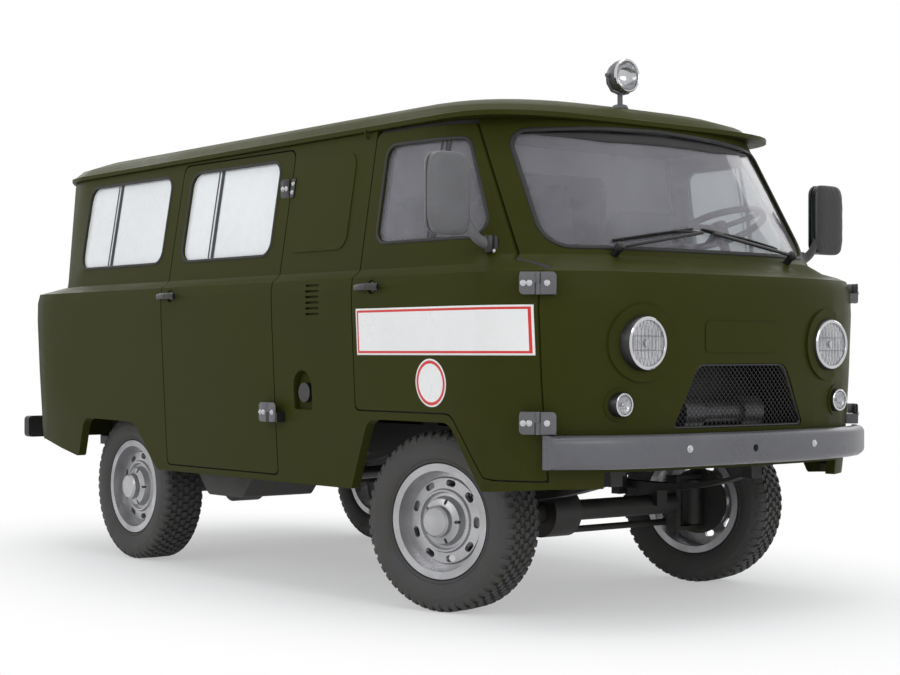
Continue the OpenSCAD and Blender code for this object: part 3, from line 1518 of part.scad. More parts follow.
lug_line = [
  [lug_foot, lug_in], [lug_top, lug_in], [lug_top, tyre_half - tread_in], [lug_edge, tyre_half - shoulder_in],
  [lug_end, tyre_half - bead_play], [shoulder_low, tyre_half - bead_lip * 1.5],
  [lug_foot, tyre_half - tread_in - bead_lip]];
module lug() rotate([90, 0, 0]) translate([0, 0, -lug_half])
  linear_extrude(height = lug_half * 2) polygon(lug_line);
module tyre() {
  rotate_extrude() polygon(tyre_line);
  for (s = [0, 1]) mirror([0, 0, s]) for (i = [0 : lug_count - 1])
    rotate([0, 0, (i + s / 2) * 360 / lug_count]) lug();
}

// Wheels: a rim, a stepped disc with oval vents, a raised lip, a domed hub with slots and a cap
barrel_wall = 10;
flange_thick = 10;
drum_back = 26;
barrel_in = bead_radius - barrel_wall;
rim_line = [
  [bead_radius, -rim_half + flange_thick], [flange_radius, -rim_half + flange_thick],
  [flange_radius, -rim_half],
  [barrel_in, -rim_half], [barrel_in, rim_half], [flange_radius, rim_half],
  [flange_radius, rim_half - flange_thick], [bead_radius, rim_half - flange_thick]];
bore = spindle_radius + hub_play;
bore_end = stub_out + housing_gap;
disc_lap = 2;
disc_face = disc_at + disc_thick;
lip_high = 19;
lip_wide = 6;
recess_high = 6;
dome_foot = 8;
dome_shoulder = 36;
dome_top = 45;
dome_edge = 10;
slot_foot = 26;
disc_line = [
  [bore, -drum_back], [drum_radius, -drum_back], [drum_radius, disc_at],
  [barrel_in + disc_lap, disc_at - disc_thick], [barrel_in + disc_lap, disc_at + disc_lap],
  [step_radius, disc_at + disc_lap * 2], [step_radius - lip_wide, disc_face + lip_wide],
  [lip_radius + lip_wide, disc_face + dome_edge], [lip_radius, disc_face + lip_high],
  [lip_radius - lip_wide, disc_face + lip_high], [lip_radius - lip_wide * 2, disc_face + recess_high],
  [hub_radius, disc_face + dome_foot], [hub_radius - dome_edge, disc_face + dome_shoulder],
  [cap_radius + disc_lap, disc_face + dome_top], [cap_radius, disc_face + dome_top + disc_lap],
  [cap_radius, cap_out - cap_edge], [cap_radius - cap_edge, cap_out],
  [0, cap_out], [0, bore_end], [bore, bore_end]];
slot_share = 0.48;
module slots(count, ring, radial, around, z) for (i = [0 : count - 1]) rotate([0, 0, i * 360 / count])
  translate([ring, 0, z]) linear_extrude(height = reach)
    polygon(frame(-radial / 2, radial / 2, -around / 2, around / 2,
      min(radial, around) * slot_share, min(radial, around) * slot_share));
module rim() difference() {
  union() {
    rotate_extrude() polygon(rim_line);
    rotate_extrude() polygon(disc_line);
  }
  slots(vent_count, vent_ring, vent_radial, vent_around, disc_at - drum_back);
  slots(hub_slot_count, hub_slot_ring, hub_slot_radial, hub_slot_around, disc_face + slot_foot);
}
module tyre_front_right() color(rubber) place() hub(-1, true) tyre();
module tyre_front_left() color(rubber) place() hub(1, true) tyre();
module tyre_rear_right() color(rubber) place() hub(-1, false) tyre();
module tyre_rear_left() color(rubber) place() hub(1, false) tyre();
module wheel_front_right() color(steel) place() hub(-1, true) rim();
module wheel_front_left() color(steel) place() hub(1, true) rim();
module wheel_rear_right() color(steel) place() hub(-1, false) rim();
module wheel_rear_left() color(steel) place() hub(1, false) rim();
chassis_frame();
cross_members();
floor_pan();
front_panel();
roof();
side_panel_right();
side_panel_left();
rear_panel();
windscreen();
side_glass();
grille_mesh();
winch();
radiator();
front_bumper();
rear_bumpers();
headlamps();
signal_lamps();
spot_lamp();
body_fittings();
partition();
dashboard();
seat_bases();
cab_seats();
engine_cover();
engine();
driveline();
front_axle();
rear_axle();
suspension();
fuel_tanks();
exhaust();
front_door_right();
front_door_left();
front_glass_right();
front_glass_left();
front_hardware_right();
front_hardware_left();
side_door();
side_door_glass();
side_hardware();
rear_door_right();
rear_door_left();
rear_glass_right();
rear_glass_left();
knuckle_right();
knuckle_left();
tie_rod();
steering_wheel();
tyre_front_right();
tyre_front_left();
tyre_rear_right();
tyre_rear_left();
wheel_front_right();
wheel_front_left();
wheel_rear_right();
wheel_rear_left();
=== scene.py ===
import math

import bmesh
import bpy
from bpy.props import FloatProperty, FloatVectorProperty, IntProperty, PointerProperty
from mathutils import Matrix, Vector


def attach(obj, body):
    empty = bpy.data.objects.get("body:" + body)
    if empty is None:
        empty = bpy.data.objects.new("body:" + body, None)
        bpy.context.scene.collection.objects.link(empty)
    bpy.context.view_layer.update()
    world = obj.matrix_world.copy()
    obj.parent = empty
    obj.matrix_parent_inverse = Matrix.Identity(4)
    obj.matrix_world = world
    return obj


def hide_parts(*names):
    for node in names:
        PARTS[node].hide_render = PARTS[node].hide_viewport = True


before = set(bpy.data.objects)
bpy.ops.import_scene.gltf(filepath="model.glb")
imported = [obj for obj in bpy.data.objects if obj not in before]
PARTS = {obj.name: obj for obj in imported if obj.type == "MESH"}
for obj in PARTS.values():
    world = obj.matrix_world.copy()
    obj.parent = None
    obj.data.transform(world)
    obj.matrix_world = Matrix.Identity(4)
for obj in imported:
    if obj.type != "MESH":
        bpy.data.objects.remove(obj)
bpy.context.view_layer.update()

bl_info = {
    "name": "Ambulance van dressing",
    "version": (1, 0, 0),
    "blender": (4, 5, 0),
    "location": "View3D > Sidebar > Ambulance",
    "description": "Dresses the packed ambulance van with paint, glass, rubber and small fittings",
    "category": "Object",
}

AXLE_X = 1.2325


# Sizes and colours that a user would change
class VanColours(bpy.types.PropertyGroup):
    olive: FloatVectorProperty(
        name="Body paint", description="Colour of the painted panels", subtype="COLOR_GAMMA",
        size=3, min=0, max=1, default=(0.207, 0.214, 0.076))
    olive_dull: FloatVectorProperty(
        name="Faded paint", description="Paler drift in the body paint", subtype="COLOR_GAMMA",
        size=3, min=0, max=1, default=(0.224, 0.232, 0.088))
    dust: FloatVectorProperty(
        name="Road dust", description="Dust on the lower panels", subtype="COLOR_GAMMA",
        size=3, min=0, max=1, default=(0.33, 0.31, 0.25))
    sign_red: FloatVectorProperty(
        name="Sign border", description="Red line round the blank sign and roundel", subtype="COLOR_GAMMA",
        size=3, min=0, max=1, default=(0.86, 0.13, 0.10))
    sign_white: FloatVectorProperty(
        name="Sign face", description="White face of the blank sign and roundel", subtype="COLOR_GAMMA",
        size=3, min=0, max=1, default=(0.965, 0.965, 0.96))
    wheel_silver: FloatVectorProperty(
        name="Wheel silver", description="Painted steel wheels", subtype="COLOR_GAMMA",
        size=3, min=0, max=1, default=(0.74, 0.74, 0.75))
    tyre_black: FloatVectorProperty(
        name="Tyre rubber", description="Tread and sidewall", subtype="COLOR_GAMMA",
        size=3, min=0, max=1, default=(0.25, 0.25, 0.255))


class VanSizes(bpy.types.PropertyGroup):
    sign_length: FloatProperty(
        name="Sign length", description="Blank sign on the right front door", unit="LENGTH", default=0.935)
    sign_height: FloatProperty(
        name="Sign height", description="Blank sign on the right front door", unit="LENGTH", default=0.180)
    roundel_radius: FloatProperty(
        name="Roundel radius", description="Blank roundel below the sign", unit="LENGTH", default=0.090)
    rubber_radius: FloatProperty(
        name="Window rubber", description="Half thickness of the window rubbers", unit="LENGTH",
        default=0.0068)
    mesh_pitch: FloatProperty(
        name="Mesh pitch", description="Spacing of the grille wires", unit="LENGTH", default=0.0165)
    wire_radius: FloatProperty(
        name="Mesh wire", description="Radius of the grille wires", unit="LENGTH", default=0.0016)
    lug_count: IntProperty(
        name="Tread lugs", description="Tread lugs in one row round a tyre", default=54)
    lug_height: FloatProperty(
        name="Lug height", description="Depth of the tyre tread", unit="LENGTH", default=0.010)
    bolt_radius: FloatProperty(
        name="Bolt heads", description="Half width of the hinge bolt heads", unit="LENGTH", default=0.0075)


# Plain helpers for meshes
UP = Vector((0, 0, 1))
SIDES = ((-1, "right"), (1, "left"))
SHARP_PIECE = math.radians(40)


def along(x):
    """The frame's x at a distance from the front axle."""
    return x + AXLE_X


def at(x, y, z):
    """A point whose x is measured from the front axle."""
    return Vector((along(x), y, z))


def turns(count):
    return [2 * math.pi * k / count for k in range(count)]


def oblong(u0, v0, u1, v1):
    return [(u0, v0), (u1, v0), (u1, v1), (u0, v1)]


def face_out(mesh, weld=0.0):
    """Turns the faces outward, after joining the points that lie closer than weld."""
    shell = bmesh.new()
    shell.from_mesh(mesh)
    if weld:
        bmesh.ops.remove_doubles(shell, verts=shell.verts, dist=weld)
    bmesh.ops.recalc_face_normals(shell, faces=shell.faces)
    shell.to_mesh(mesh)
    shell.free()


def new_piece(name, lists, looks, body, tones=()):
    """One piece from its points and faces. tones gives the number of each face's finish."""
    mesh = bpy.data.meshes.new(name)
    mesh.from_pydata([tuple(v) for v in lists[0]], [], lists[1])
    mesh.validate()
    piece = bpy.data.objects.new(name, mesh)
    bpy.context.scene.collection.objects.link(piece)
    for look in looks:
        mesh.materials.append(FINISHES[look])
    face_out(mesh)
    for polygon in mesh.polygons:
        polygon.use_smooth = True
    mesh.set_sharp_from_angle(angle=SHARP_PIECE)
    for polygon, tone in zip(mesh.polygons, tones):
        polygon.material_index = tone
    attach(piece, body)
    return piece


def toned_piece(name, toned, looks, body):
    """One piece from pairs of a mesh and the number of its finish."""
    tones = [tone for part, tone in toned for _ in part[1]]
    return new_piece(name, merge([part for part, _ in toned]), looks, body, tones)


def thicken(piece, thickness, offset=-1.0):
    sheet = piece.modifiers.new("thickness", "SOLIDIFY")
    sheet.thickness = thickness
    sheet.offset = offset


def shifted(faces, start):
    return [[start + i for i in face] for face in faces]


def merge(lists):
    """Joins several meshes into one."""
    verts = []
    faces = []
    for part_verts, part_faces in lists:
        faces += shifted(part_faces, len(verts))
        verts += part_verts
    return verts, faces


def quads(rings, count, closed=False, wrap=True):
    """Faces between rings of points. closed joins the last ring to the first, wrap closes each ring."""
    faces = []
    for i in range(rings if closed else rings - 1):
        here = i * count
        there = (i + 1) % rings * count
        for k in range(count if wrap else count - 1):
            after = (k + 1) % count
            faces.append([here + k, here + after, there + after, there + k])
    return faces


def cap(ring, count):
    return [ring * count + k for k in range(count)]


def frames_along(points, closed):
    """Unit tangents of a path."""
    count = len(points)
    tangents = []
    for i in range(count):
        ahead = points[(i + 1) % count] if closed or i < count - 1 else points[i]
        behind = points[i - 1] if closed or i > 0 else points[i]
        tangents.append((ahead - behind).normalized())
    return tangents


def tube(points, radius, sides=8, closed=False, flat=1.0, lean=None):
    """A round or flattened bar along a path. lean gives the direction that flat squeezes."""
    points = [Vector(p) for p in points]
    tangents = frames_along(points, closed)
    verts = []
    across = lean[0] if isinstance(lean, list) else lean
    across = Vector(across) if across is not None else UP
    if abs(across.dot(tangents[0])) > 0.95:
        across = Vector((1, 0, 0))
    for i, (point, tangent) in enumerate(zip(points, tangents)):
        if isinstance(lean, list):
            across = Vector(lean[i])
        across = (across - tangent * across.dot(tangent)).normalized()
        other = tangent.cross(across)
        for turn in turns(sides):
            reach = across * (math.cos(turn) * radius * flat) + other * (math.sin(turn) * radius)
            verts.append(point + reach)
    faces = quads(len(points), sides, closed)
    if not closed:
        faces += [cap(0, sides)[::-1], cap(len(points) - 1, sides)]
    return verts, faces


def lathe(profile, centre, axis, segments=48, closed=False):
    """Turns (radius, distance along the axis) points round an axis."""
    axis = Vector(axis).normalized()
    side = UP if abs(axis.z) < 0.9 else Vector((1, 0, 0))
    side = (side - axis * side.dot(axis)).normalized()
    other = axis.cross(side)
    verts = []
    for turn in turns(segments):
        out = side * math.cos(turn) + other * math.sin(turn)
        verts += [Vector(centre) + out * radius + axis * reach for radius, reach in profile]
    return verts, quads(segments, len(profile), True, closed)


def block(centre, axes, half, taper=1.0):
    """A box with a narrower top. axes are three unit vectors, the last one points out."""
    centre = Vector(centre)
    across, along_it, out = (Vector(a) for a in axes)
    verts = []
    for level, share in ((-1, 1.0), (1, taper)):
        for a, b in ((-1, -1), (1, -1), (1, 1), (-1, 1)):
            place = across * (a * half[0] * share) + along_it * (b * half[1] * share)
            verts.append(centre + place + out * (level * half[2]))
    faces = [[0, 3, 2, 1], [4, 5, 6, 7], [0, 1, 5, 4], [1, 2, 6, 5], [2, 3, 7, 6], [3, 0, 4, 7]]
    return verts, faces


def rounded(corners, radius, steps=6):
    """A closed outline with its corners rounded."""
    count = len(corners)
    line = []
    for i in range(count):
        point = Vector(corners[i][:2])
        turn = corners[i][2] if len(corners[i]) > 2 else radius
        before = (Vector(corners[i - 1][:2]) - point).normalized()
        after = (Vector(corners[(i + 1) % count][:2]) - point).normalized()
        angle = before.angle(after)
        if turn <= 0 or angle > math.radians(175):
            line.append(point)
            continue
        back = turn / math.tan(angle / 2)
        start = point + before * back
        end = point + after * back
        middle = point + (before + after).normalized() * (turn / math.sin(angle / 2))
        for k in range(steps + 1):
            share = k / steps
            arm = (start - middle).lerp(end - middle, share).normalized()
            line.append(middle + arm * turn)
    return line


def denser(line, most):
    """Splits the long runs of a closed outline."""
    result = []
    for i, point in enumerate(line):
        after = line[(i + 1) % len(line)]
        parts = max(1, math.ceil((after - point).length / most))
        result.extend([point.lerp(after, k / parts) for k in range(parts)])
    return result


def on_skin(nodes, start, direction):
    """Where a straight line first meets one of the CAD nodes, and the way the skin faces there."""
    start = Vector(start)
    direction = Vector(direction).normalized()
    best = None
    for node in nodes:
        hit, place, facing, _ = PARTS[node].ray_cast(start, direction)
        if hit and (best is None or (place - start).length < (best[0] - start).length):
            best = (place.copy(), facing.copy())
    return best


def side_point(nodes, x, z, side):
    return on_skin(nodes, (along(x), side * 2.0, z), (0, -side, 0))


def front_point(nodes, y, z):
    return on_skin(nodes, (4.0, y, z), (-1, 0, 0))


def back_point(nodes, y, z):
    return on_skin(nodes, (-4.0, y, z), (1, 0, 0))


# Shader nodes and the node groups that several finishes share
GROUPS = {}
FINISHES = {}


def linear(rgb):
    return tuple(c / 12.92 if c <= 0.04045 else ((c + 0.055) / 1.055) ** 2.4 for c in rgb)


def rgba(rgb):
    return (*linear(rgb), 1.0)


def fill(tree, node, sockets):
    """Links or sets inputs by their name or number."""
    for label, value in sockets.items():
        if isinstance(value, bpy.types.NodeSocket):
            tree.links.new(value, node.inputs[label])
        else:
            node.inputs[label].default_value = value


def add(tree, kind, sockets=None, **settings):
    node = tree.nodes.new(kind)
    for setting, value in settings.items():
        setattr(node, setting, value)
    fill(tree, node, sockets or {})
    return node


def group_shell(name, inputs, outputs):
    """An empty node group. Tuples make colour sockets and numbers make value sockets."""
    tree = bpy.data.node_groups.new(name, "ShaderNodeTree")
    for label, value in inputs.items():
        kind = "NodeSocketColor" if isinstance(value, tuple) else "NodeSocketFloat"
        tree.interface.new_socket(label, in_out="INPUT", socket_type=kind).default_value = value
    for label in outputs:
        kind = "NodeSocketColor" if label == "Color" else "NodeSocketFloat"
        tree.interface.new_socket(label, in_out="OUTPUT", socket_type=kind)
    return tree, add(tree, "NodeGroupInput").outputs, add(tree, "NodeGroupOutput")


def math_node(tree, operation, *values, clamp=False):
    node = add(tree, "ShaderNodeMath", dict(enumerate(values)), operation=operation, use_clamp=clamp)
    return node.outputs[0]


def mix_colour(tree, factor, first, second):
    return add(tree, "ShaderNodeMix", {0: factor, 6: first, 7: second}, data_type="RGBA").outputs[2]


def noise(tree, scale, detail=3.0, stretch=None):
    place = add(tree, "ShaderNodeTexCoord").outputs["Object"]
    if stretch:
        place = add(tree, "ShaderNodeMapping", {"Vector": place, "Scale": stretch}).outputs["Vector"]
    return add(tree, "ShaderNodeTexNoise", {"Vector": place, "Scale": scale, "Detail": detail}).outputs["Fac"]


def span(tree, value, low, high):
    sockets = {"Value": value, "From Min": low, "From Max": high}
    return add(tree, "ShaderNodeMapRange", sockets, interpolation_type="SMOOTHSTEP").outputs["Result"]


def make_drift_group():
    tree, inside, outside = group_shell(
        "Colour drift",
        {"Color": (0.5, 0.5, 0.5, 1), "Second Color": (0.4, 0.4, 0.4, 1), "Scale": 2.0, "Amount": 0.5},
        ["Color", "Drift"])
    wide = noise(tree, inside["Scale"], 2.0)
    close = noise(tree, math_node(tree, "MULTIPLY", inside["Scale"], 14.0), 4.0)
    wide = math_node(tree, "MULTIPLY", wide, 0.7)
    drift = span(tree, math_node(tree, "ADD", wide, math_node(tree, "MULTIPLY", close, 0.3)), 0.36, 0.64)
    factor = math_node(tree, "MULTIPLY", drift, inside["Amount"], clamp=True)
    fill(tree, outside, {0: mix_colour(tree, factor, inside["Color"], inside["Second Color"]), 1: drift})
    return tree


def masked_group(tree, inside, outside, first, second, colour):
    """Lays a colour over the group's colour where two masks meet."""
    both = math_node(tree, "MULTIPLY", first, second)
    mask = math_node(tree, "MULTIPLY", both, inside["Amount"], clamp=True)
    fill(tree, outside, {0: mix_colour(tree, mask, inside["Color"], inside[colour]), 1: mask})
    return tree


def make_dust_group():
    tree, inside, outside = group_shell(
        "Road dust",
        {"Color": (0.5, 0.5, 0.5, 1), "Dust Color": (0.3, 0.28, 0.2, 1), "Height": 0.9, "Amount": 0.3},
        ["Color", "Mask"])
    place = add(tree, "ShaderNodeTexCoord").outputs["Object"]
    parts = add(tree, "ShaderNodeSeparateXYZ", {0: place})
    fall = math_node(tree, "DIVIDE", parts.outputs["Z"], inside["Height"])
    low = math_node(tree, "SUBTRACT", 1.0, fall, clamp=True)
    patchy = span(tree, noise(tree, 9.0, 6.0), 0.3, 0.75)
    return masked_group(tree, inside, outside, low, patchy, "Dust Color")


def make_scuff_group():
    tree, inside, outside = group_shell(
        "Scuffs",
        {"Color": (0.5, 0.5, 0.5, 1), "Scuff Color": (0.6, 0.6, 0.6, 1), "Amount": 0.3},
        ["Color", "Mask"])
    streak = span(tree, noise(tree, 22.0, 5.0, (0.35, 0.35, 3.2)), 0.62, 0.74)
    patch = span(tree, noise(tree, 3.1, 2.0), 0.48, 0.62)
    return masked_group(tree, inside, outside, streak, patch, "Scuff Color")


def make_grain_group():
    tree, inside, outside = group_shell("Fine grain", {"Scale": 300.0, "Amount": 1.0}, ["Height"])
    fine = noise(tree, inside["Scale"], 2.0)
    fill(tree, outside, {0: math_node(tree, "MULTIPLY", fine, inside["Amount"])})
    return tree


def placed(tree, name, sockets):
    return add(tree, "ShaderNodeGroup", sockets, node_tree=GROUPS[name]).outputs


def drifted(name, base, second, scale, amount):
    """A new finish whose colour drifts: its tree, its shader and the outputs of the drift."""
    FINISHES[name] = bpy.data.materials.new(name)
    FINISHES[name].use_nodes = True
    tree = FINISHES[name].node_tree
    sockets = {"Color": rgba(base), "Second Color": rgba(second), "Scale": scale, "Amount": amount}
    return tree, tree.nodes["Principled BSDF"], placed(tree, "drift", sockets)


def finish(name, base, second, rough, metal=0.0, drift=(2.0, 0.5), dust=(0.9, 0.0),
           scuff=((0.5, 0.5, 0.5), 0.0), grain=(300.0, 0.02), rough_drift=0.12, coat=0.0, shine=0.5):
    """A surface with drifting colour, scuffs, road dust and a fine grain."""
    tree, shader, drifting = drifted(name, base, second, *drift)
    scuffed = placed(tree, "scuff", {"Color": drifting["Color"], "Scuff Color": rgba(scuff[0]),
                                     "Amount": scuff[1]})
    dust_colour = rgba(bpy.context.scene.van_colours.dust)
    dusty = placed(tree, "dust", {"Color": scuffed["Color"], "Dust Color": dust_colour,
                                  "Height": dust[0], "Amount": dust[1]})
    wander = math_node(tree, "MULTIPLY", drifting["Drift"], rough_drift)
    settled = math_node(tree, "MULTIPLY", dusty["Mask"], 0.5)
    uneven = math_node(tree, "ADD", wander, settled)
    height = placed(tree, "grain", {"Scale": grain[0], "Amount": 1.0})["Height"]
    bump = add(tree, "ShaderNodeBump", {"Strength": grain[1], "Distance": 0.01, "Height": height})
    fill(tree, shader, {
        "Base Color": dusty["Color"], "Normal": bump.outputs["Normal"], "Metallic": metal,
        "Roughness": math_node(tree, "ADD", uneven, rough - rough_drift / 2, clamp=True),
        "Specular IOR Level": shine, "Coat Weight": coat, "Coat Roughness": 0.2})


def clear_finish(name, tint, second, rough, film, edge):
    """Glass as a thin see-through film that thickens towards its edges and where dust drifts."""
    tree, shader, drifting = drifted(name, tint, second, 2.2, 0.6)
    slant = add(tree, "ShaderNodeLayerWeight", {"Blend": 0.30}).outputs["Facing"]
    cover = math_node(tree, "MULTIPLY_ADD", slant, edge, film)
    fill(tree, shader, {
        "Base Color": drifting["Color"], "Coat Weight": 0.8, "Coat Roughness": 0.03,
        "Roughness": math_node(tree, "MULTIPLY_ADD", drifting["Drift"], 0.04, rough),
        "Alpha": math_node(tree, "MULTIPLY_ADD", drifting["Drift"], 0.05, cover)})


BROAD_PANELS = ("front_panel", "roof", "side_panel_right", "side_panel_left", "rear_panel",
                "front_door_right", "front_door_left", "side_door", "rear_door_right", "rear_door_left")
FINISH_TABLE = [
    (BROAD_PANELS, "olive paint"),
    (["partition"], "inner paint"),
    (["chassis_frame", "front_axle", "rear_axle", "suspension", "fuel_tanks", "knuckle_right", "knuckle_left",
      "tie_rod", "rear_bumpers", "seat_bases", "cross_members"], "black frame"),
    (["floor_pan"], "floor paint"),
    (["windscreen", "front_glass_right"], "clear glass"),
    (["front_glass_left"], "tinted glass"),
    (["side_glass", "side_door_glass", "rear_glass_right", "rear_glass_left"], "frosted glass"),
    (["grille_mesh", "radiator"], "black core"),
    (["front_bumper"], "grey bumper"),
    (["winch"], "grey steel"),
    (["driveline", "exhaust", "headlamps", "spot_lamp", "signal_lamps"], "dark steel"),
    (["engine"], "cast block"),
    (["body_fittings", "front_hardware_right", "front_hardware_left", "side_hardware"], "black fitting"),
    (["dashboard", "steering_wheel", "engine_cover"], "cab plastic"),
    (["cab_seats"], "seat cover"),
    (["tyre_front_right", "tyre_front_left", "tyre_rear_right", "tyre_rear_left"], "tyre rubber"),
    (["wheel_front_right", "wheel_front_left", "wheel_rear_right", "wheel_rear_left"], "silver wheel"),
]
# The front hinges among the body's fittings are grey: ranges along the van and of height
GREY_ALONG = (0.55, 0.95)
GREY_HIGH = (0.6, 1.32)


class VAN_OT_finishes(bpy.types.Operator):
    """Makes the shared node groups and puts a finish on each CAD node"""
    bl_idname = "van.finishes"
    bl_label = "Finishes"

    def execute(self, context):
        GROUPS["drift"] = make_drift_group()
        GROUPS["dust"] = make_dust_group()
        GROUPS["scuff"] = make_scuff_group()
        GROUPS["grain"] = make_grain_group()
        self.paints(context.scene.van_colours)
        self.fittings(context.scene.van_colours)
        self.glasses()
        for names, look in FINISH_TABLE:
            for node in names:
                PARTS[node].data.materials.clear()
                PARTS[node].data.materials.append(FINISHES[look])
        self.grey_hinges(PARTS["body_fittings"].data)
        return {"FINISHED"}

    def grey_hinges(self, mesh):
        mesh.materials.append(FINISHES["grey fitting"])
        for polygon in mesh.polygons:
            x = polygon.center.x - AXLE_X
            if GREY_ALONG[0] < x < GREY_ALONG[1] and GREY_HIGH[0] < polygon.center.z < GREY_HIGH[1]:
                polygon.material_index = 1

    def paints(self, colours):
        finish("olive paint", colours.olive, colours.olive_dull, 0.42, drift=(1.3, 0.55), dust=(0.95, 0.13),
               scuff=((0.30, 0.30, 0.17), 0.10), grain=(420.0, 0.03), shine=0.05)
        finish("inner paint", (0.58, 0.58, 0.60), (0.64, 0.64, 0.66), 0.55, dust=(0.9, 0.2))
        finish("black frame", (0.115, 0.115, 0.12), (0.16, 0.155, 0.15), 0.55, drift=(4.0, 0.6),
               dust=(0.7, 0.45), scuff=((0.25, 0.24, 0.22), 0.3), grain=(240.0, 0.08))
        finish("floor paint", (0.16, 0.165, 0.12), (0.2, 0.2, 0.16), 0.6, drift=(4.0, 0.6), dust=(0.9, 0.4))
        finish("grey bumper", (0.35, 0.35, 0.37), (0.40, 0.40, 0.42), 0.32, drift=(3.0, 0.5),
               dust=(0.75, 0.25), scuff=((0.5, 0.5, 0.5), 0.3), grain=(360.0, 0.05))
        finish("grey steel", (0.36, 0.36, 0.37), (0.46, 0.46, 0.47), 0.38, metal=0.7, drift=(6.0, 0.6),
               dust=(0.7, 0.3), scuff=((0.6, 0.6, 0.6), 0.3), grain=(300.0, 0.06))
        finish("dark steel", (0.20, 0.20, 0.21), (0.27, 0.27, 0.27), 0.42, metal=0.6, drift=(8.0, 0.6),
               dust=(0.7, 0.25), scuff=((0.5, 0.5, 0.5), 0.25), grain=(300.0, 0.06))
        finish("cast block", (0.30, 0.30, 0.30), (0.36, 0.35, 0.33), 0.6, metal=0.4, drift=(9.0, 0.7),
               dust=(1.2, 0.3), grain=(120.0, 0.25))
        finish("black core", (0.08, 0.08, 0.085), (0.12, 0.12, 0.12), 0.5, drift=(9.0, 0.6), dust=(1.0, 0.2))

    def fittings(self, colours):
        finish("black fitting", (0.10, 0.10, 0.105), (0.15, 0.15, 0.15), 0.38, drift=(7.0, 0.5),
               dust=(0.6, 0.2), scuff=((0.3, 0.3, 0.3), 0.25), grain=(500.0, 0.06))
        finish("grey fitting", (0.36, 0.36, 0.37), (0.42, 0.42, 0.43), 0.45, drift=(7.0, 0.5),
               dust=(0.6, 0.2), scuff=((0.5, 0.5, 0.5), 0.25), grain=(500.0, 0.06))
        finish("cab plastic", (0.13, 0.13, 0.135), (0.17, 0.17, 0.17), 0.55, drift=(5.0, 0.5),
               grain=(700.0, 0.2))
        finish("door trim", (0.30, 0.30, 0.29), (0.35, 0.35, 0.34), 0.6, drift=(5.0, 0.5), grain=(600.0, 0.2))
        finish("seat cover", (0.16, 0.16, 0.155), (0.21, 0.205, 0.20), 0.62, drift=(6.0, 0.6),
               grain=(620.0, 0.3))
        finish("tyre rubber", colours.tyre_black, (0.27, 0.268, 0.275), 0.66, drift=(7.0, 0.6),
               dust=(5.0, 0.35), scuff=((0.32, 0.31, 0.29), 0.25), grain=(260.0, 0.18))
        finish("silver wheel", colours.wheel_silver, (0.62, 0.62, 0.63), 0.30, metal=0.6, drift=(8.0, 0.5),
               dust=(4.0, 0.22), scuff=((0.75, 0.75, 0.75), 0.25), grain=(420.0, 0.05), coat=0.2)
        finish("window rubber", (0.07, 0.07, 0.072), (0.11, 0.11, 0.11), 0.6, drift=(9.0, 0.6),
               grain=(500.0, 0.1))
        finish("bright steel", (0.80, 0.80, 0.81), (0.70, 0.70, 0.71), 0.30, metal=0.35, drift=(9.0, 0.4),
               grain=(300.0, 0.03))
        finish("sign white", colours.sign_white, (0.93, 0.93, 0.92), 0.32, drift=(4.0, 0.5), coat=0.25)
        finish("sign red", colours.sign_red, (0.80, 0.12, 0.10), 0.34, drift=(4.0, 0.5), coat=0.25)
        finish("chrome", (0.78, 0.78, 0.79), (0.68, 0.68, 0.69), 0.12, metal=1.0, drift=(9.0, 0.4))
        finish("reflector", (0.76, 0.76, 0.77), (0.60, 0.60, 0.61), 0.20, metal=0.9, drift=(12.0, 0.6),
               rough_drift=0.15)
        finish("mirror silver", (0.86, 0.87, 0.88), (0.80, 0.81, 0.82), 0.06, metal=1.0, drift=(5.0, 0.4))

    def glasses(self):
        finish("red lens", (0.55, 0.03, 0.03), (0.45, 0.02, 0.02), 0.18, drift=(8.0, 0.4), coat=0.6)
        finish("amber lens", (0.80, 0.36, 0.05), (0.7, 0.3, 0.04), 0.18, drift=(8.0, 0.4), coat=0.6)
        finish("frosted glass", (0.965, 0.972, 0.975), (0.90, 0.912, 0.92), 0.22, drift=(1.6, 0.6), coat=0.5)
        clear_finish("clear glass", (0.63, 0.625, 0.66), (0.71, 0.705, 0.735), 0.04, 0.15, 0.34)
        clear_finish("tinted glass", (0.55, 0.86, 0.86), (0.63, 0.90, 0.90), 0.04, 0.40, 0.20)
        clear_finish("lens rib", (0.42, 0.43, 0.45), (0.50, 0.51, 0.53), 0.08, 0.45, 0.30)
        clear_finish("lens glass", (0.80, 0.81, 0.83), (0.72, 0.73, 0.75), 0.05, 0.06, 0.30)


# The studio
FLOOR_HALF = 60
FLOOR_OVAL = (1.0, 1.6, 1.0)
FLOOR_FADE = (1.7, 3.7)
FLOOR_LIFT = 0.42
SKY_COLOUR = (0.93, 0.96, 1.0, 1)
SKY_STRENGTH = 0.55
CAMERA_PLACE = (6.6825, -5.151, 0.991)
CAMERA_YAW = 140.867
CAMERA_PITCH = 0.490
CAMERA_ROLL = 0.069
# Focal length in pixels of a picture 900 pixels wide
CAMERA_FOCUS = 1815.13
PICTURE_WIDE = 900.0
SENSOR_WIDE = 36.0
# name, place, aim, size, power
LAMPS = [
    ("roof_softbox", (0.5, -0.5, 6.5), (0, 0, 0.8), (6.0, 4.0), 150.0),
    ("front_softbox", (7.5, -1.0, 3.6), (1.4, 0, 1.0), (3.0, 3.0), 80.0),
    ("side_softbox", (1.0, -7.5, 4.2), (0, 0, 1.0), (6.0, 2.4), 95.0),
    ("left_softbox", (0.0, 7.0, 4.0), (0, 0, 1.0), (5.0, 2.5), 60.0),
    ("rear_softbox", (-7.0, 0.0, 4.0), (-1.5, 0, 1.0), (3.5, 2.5), 60.0),
]


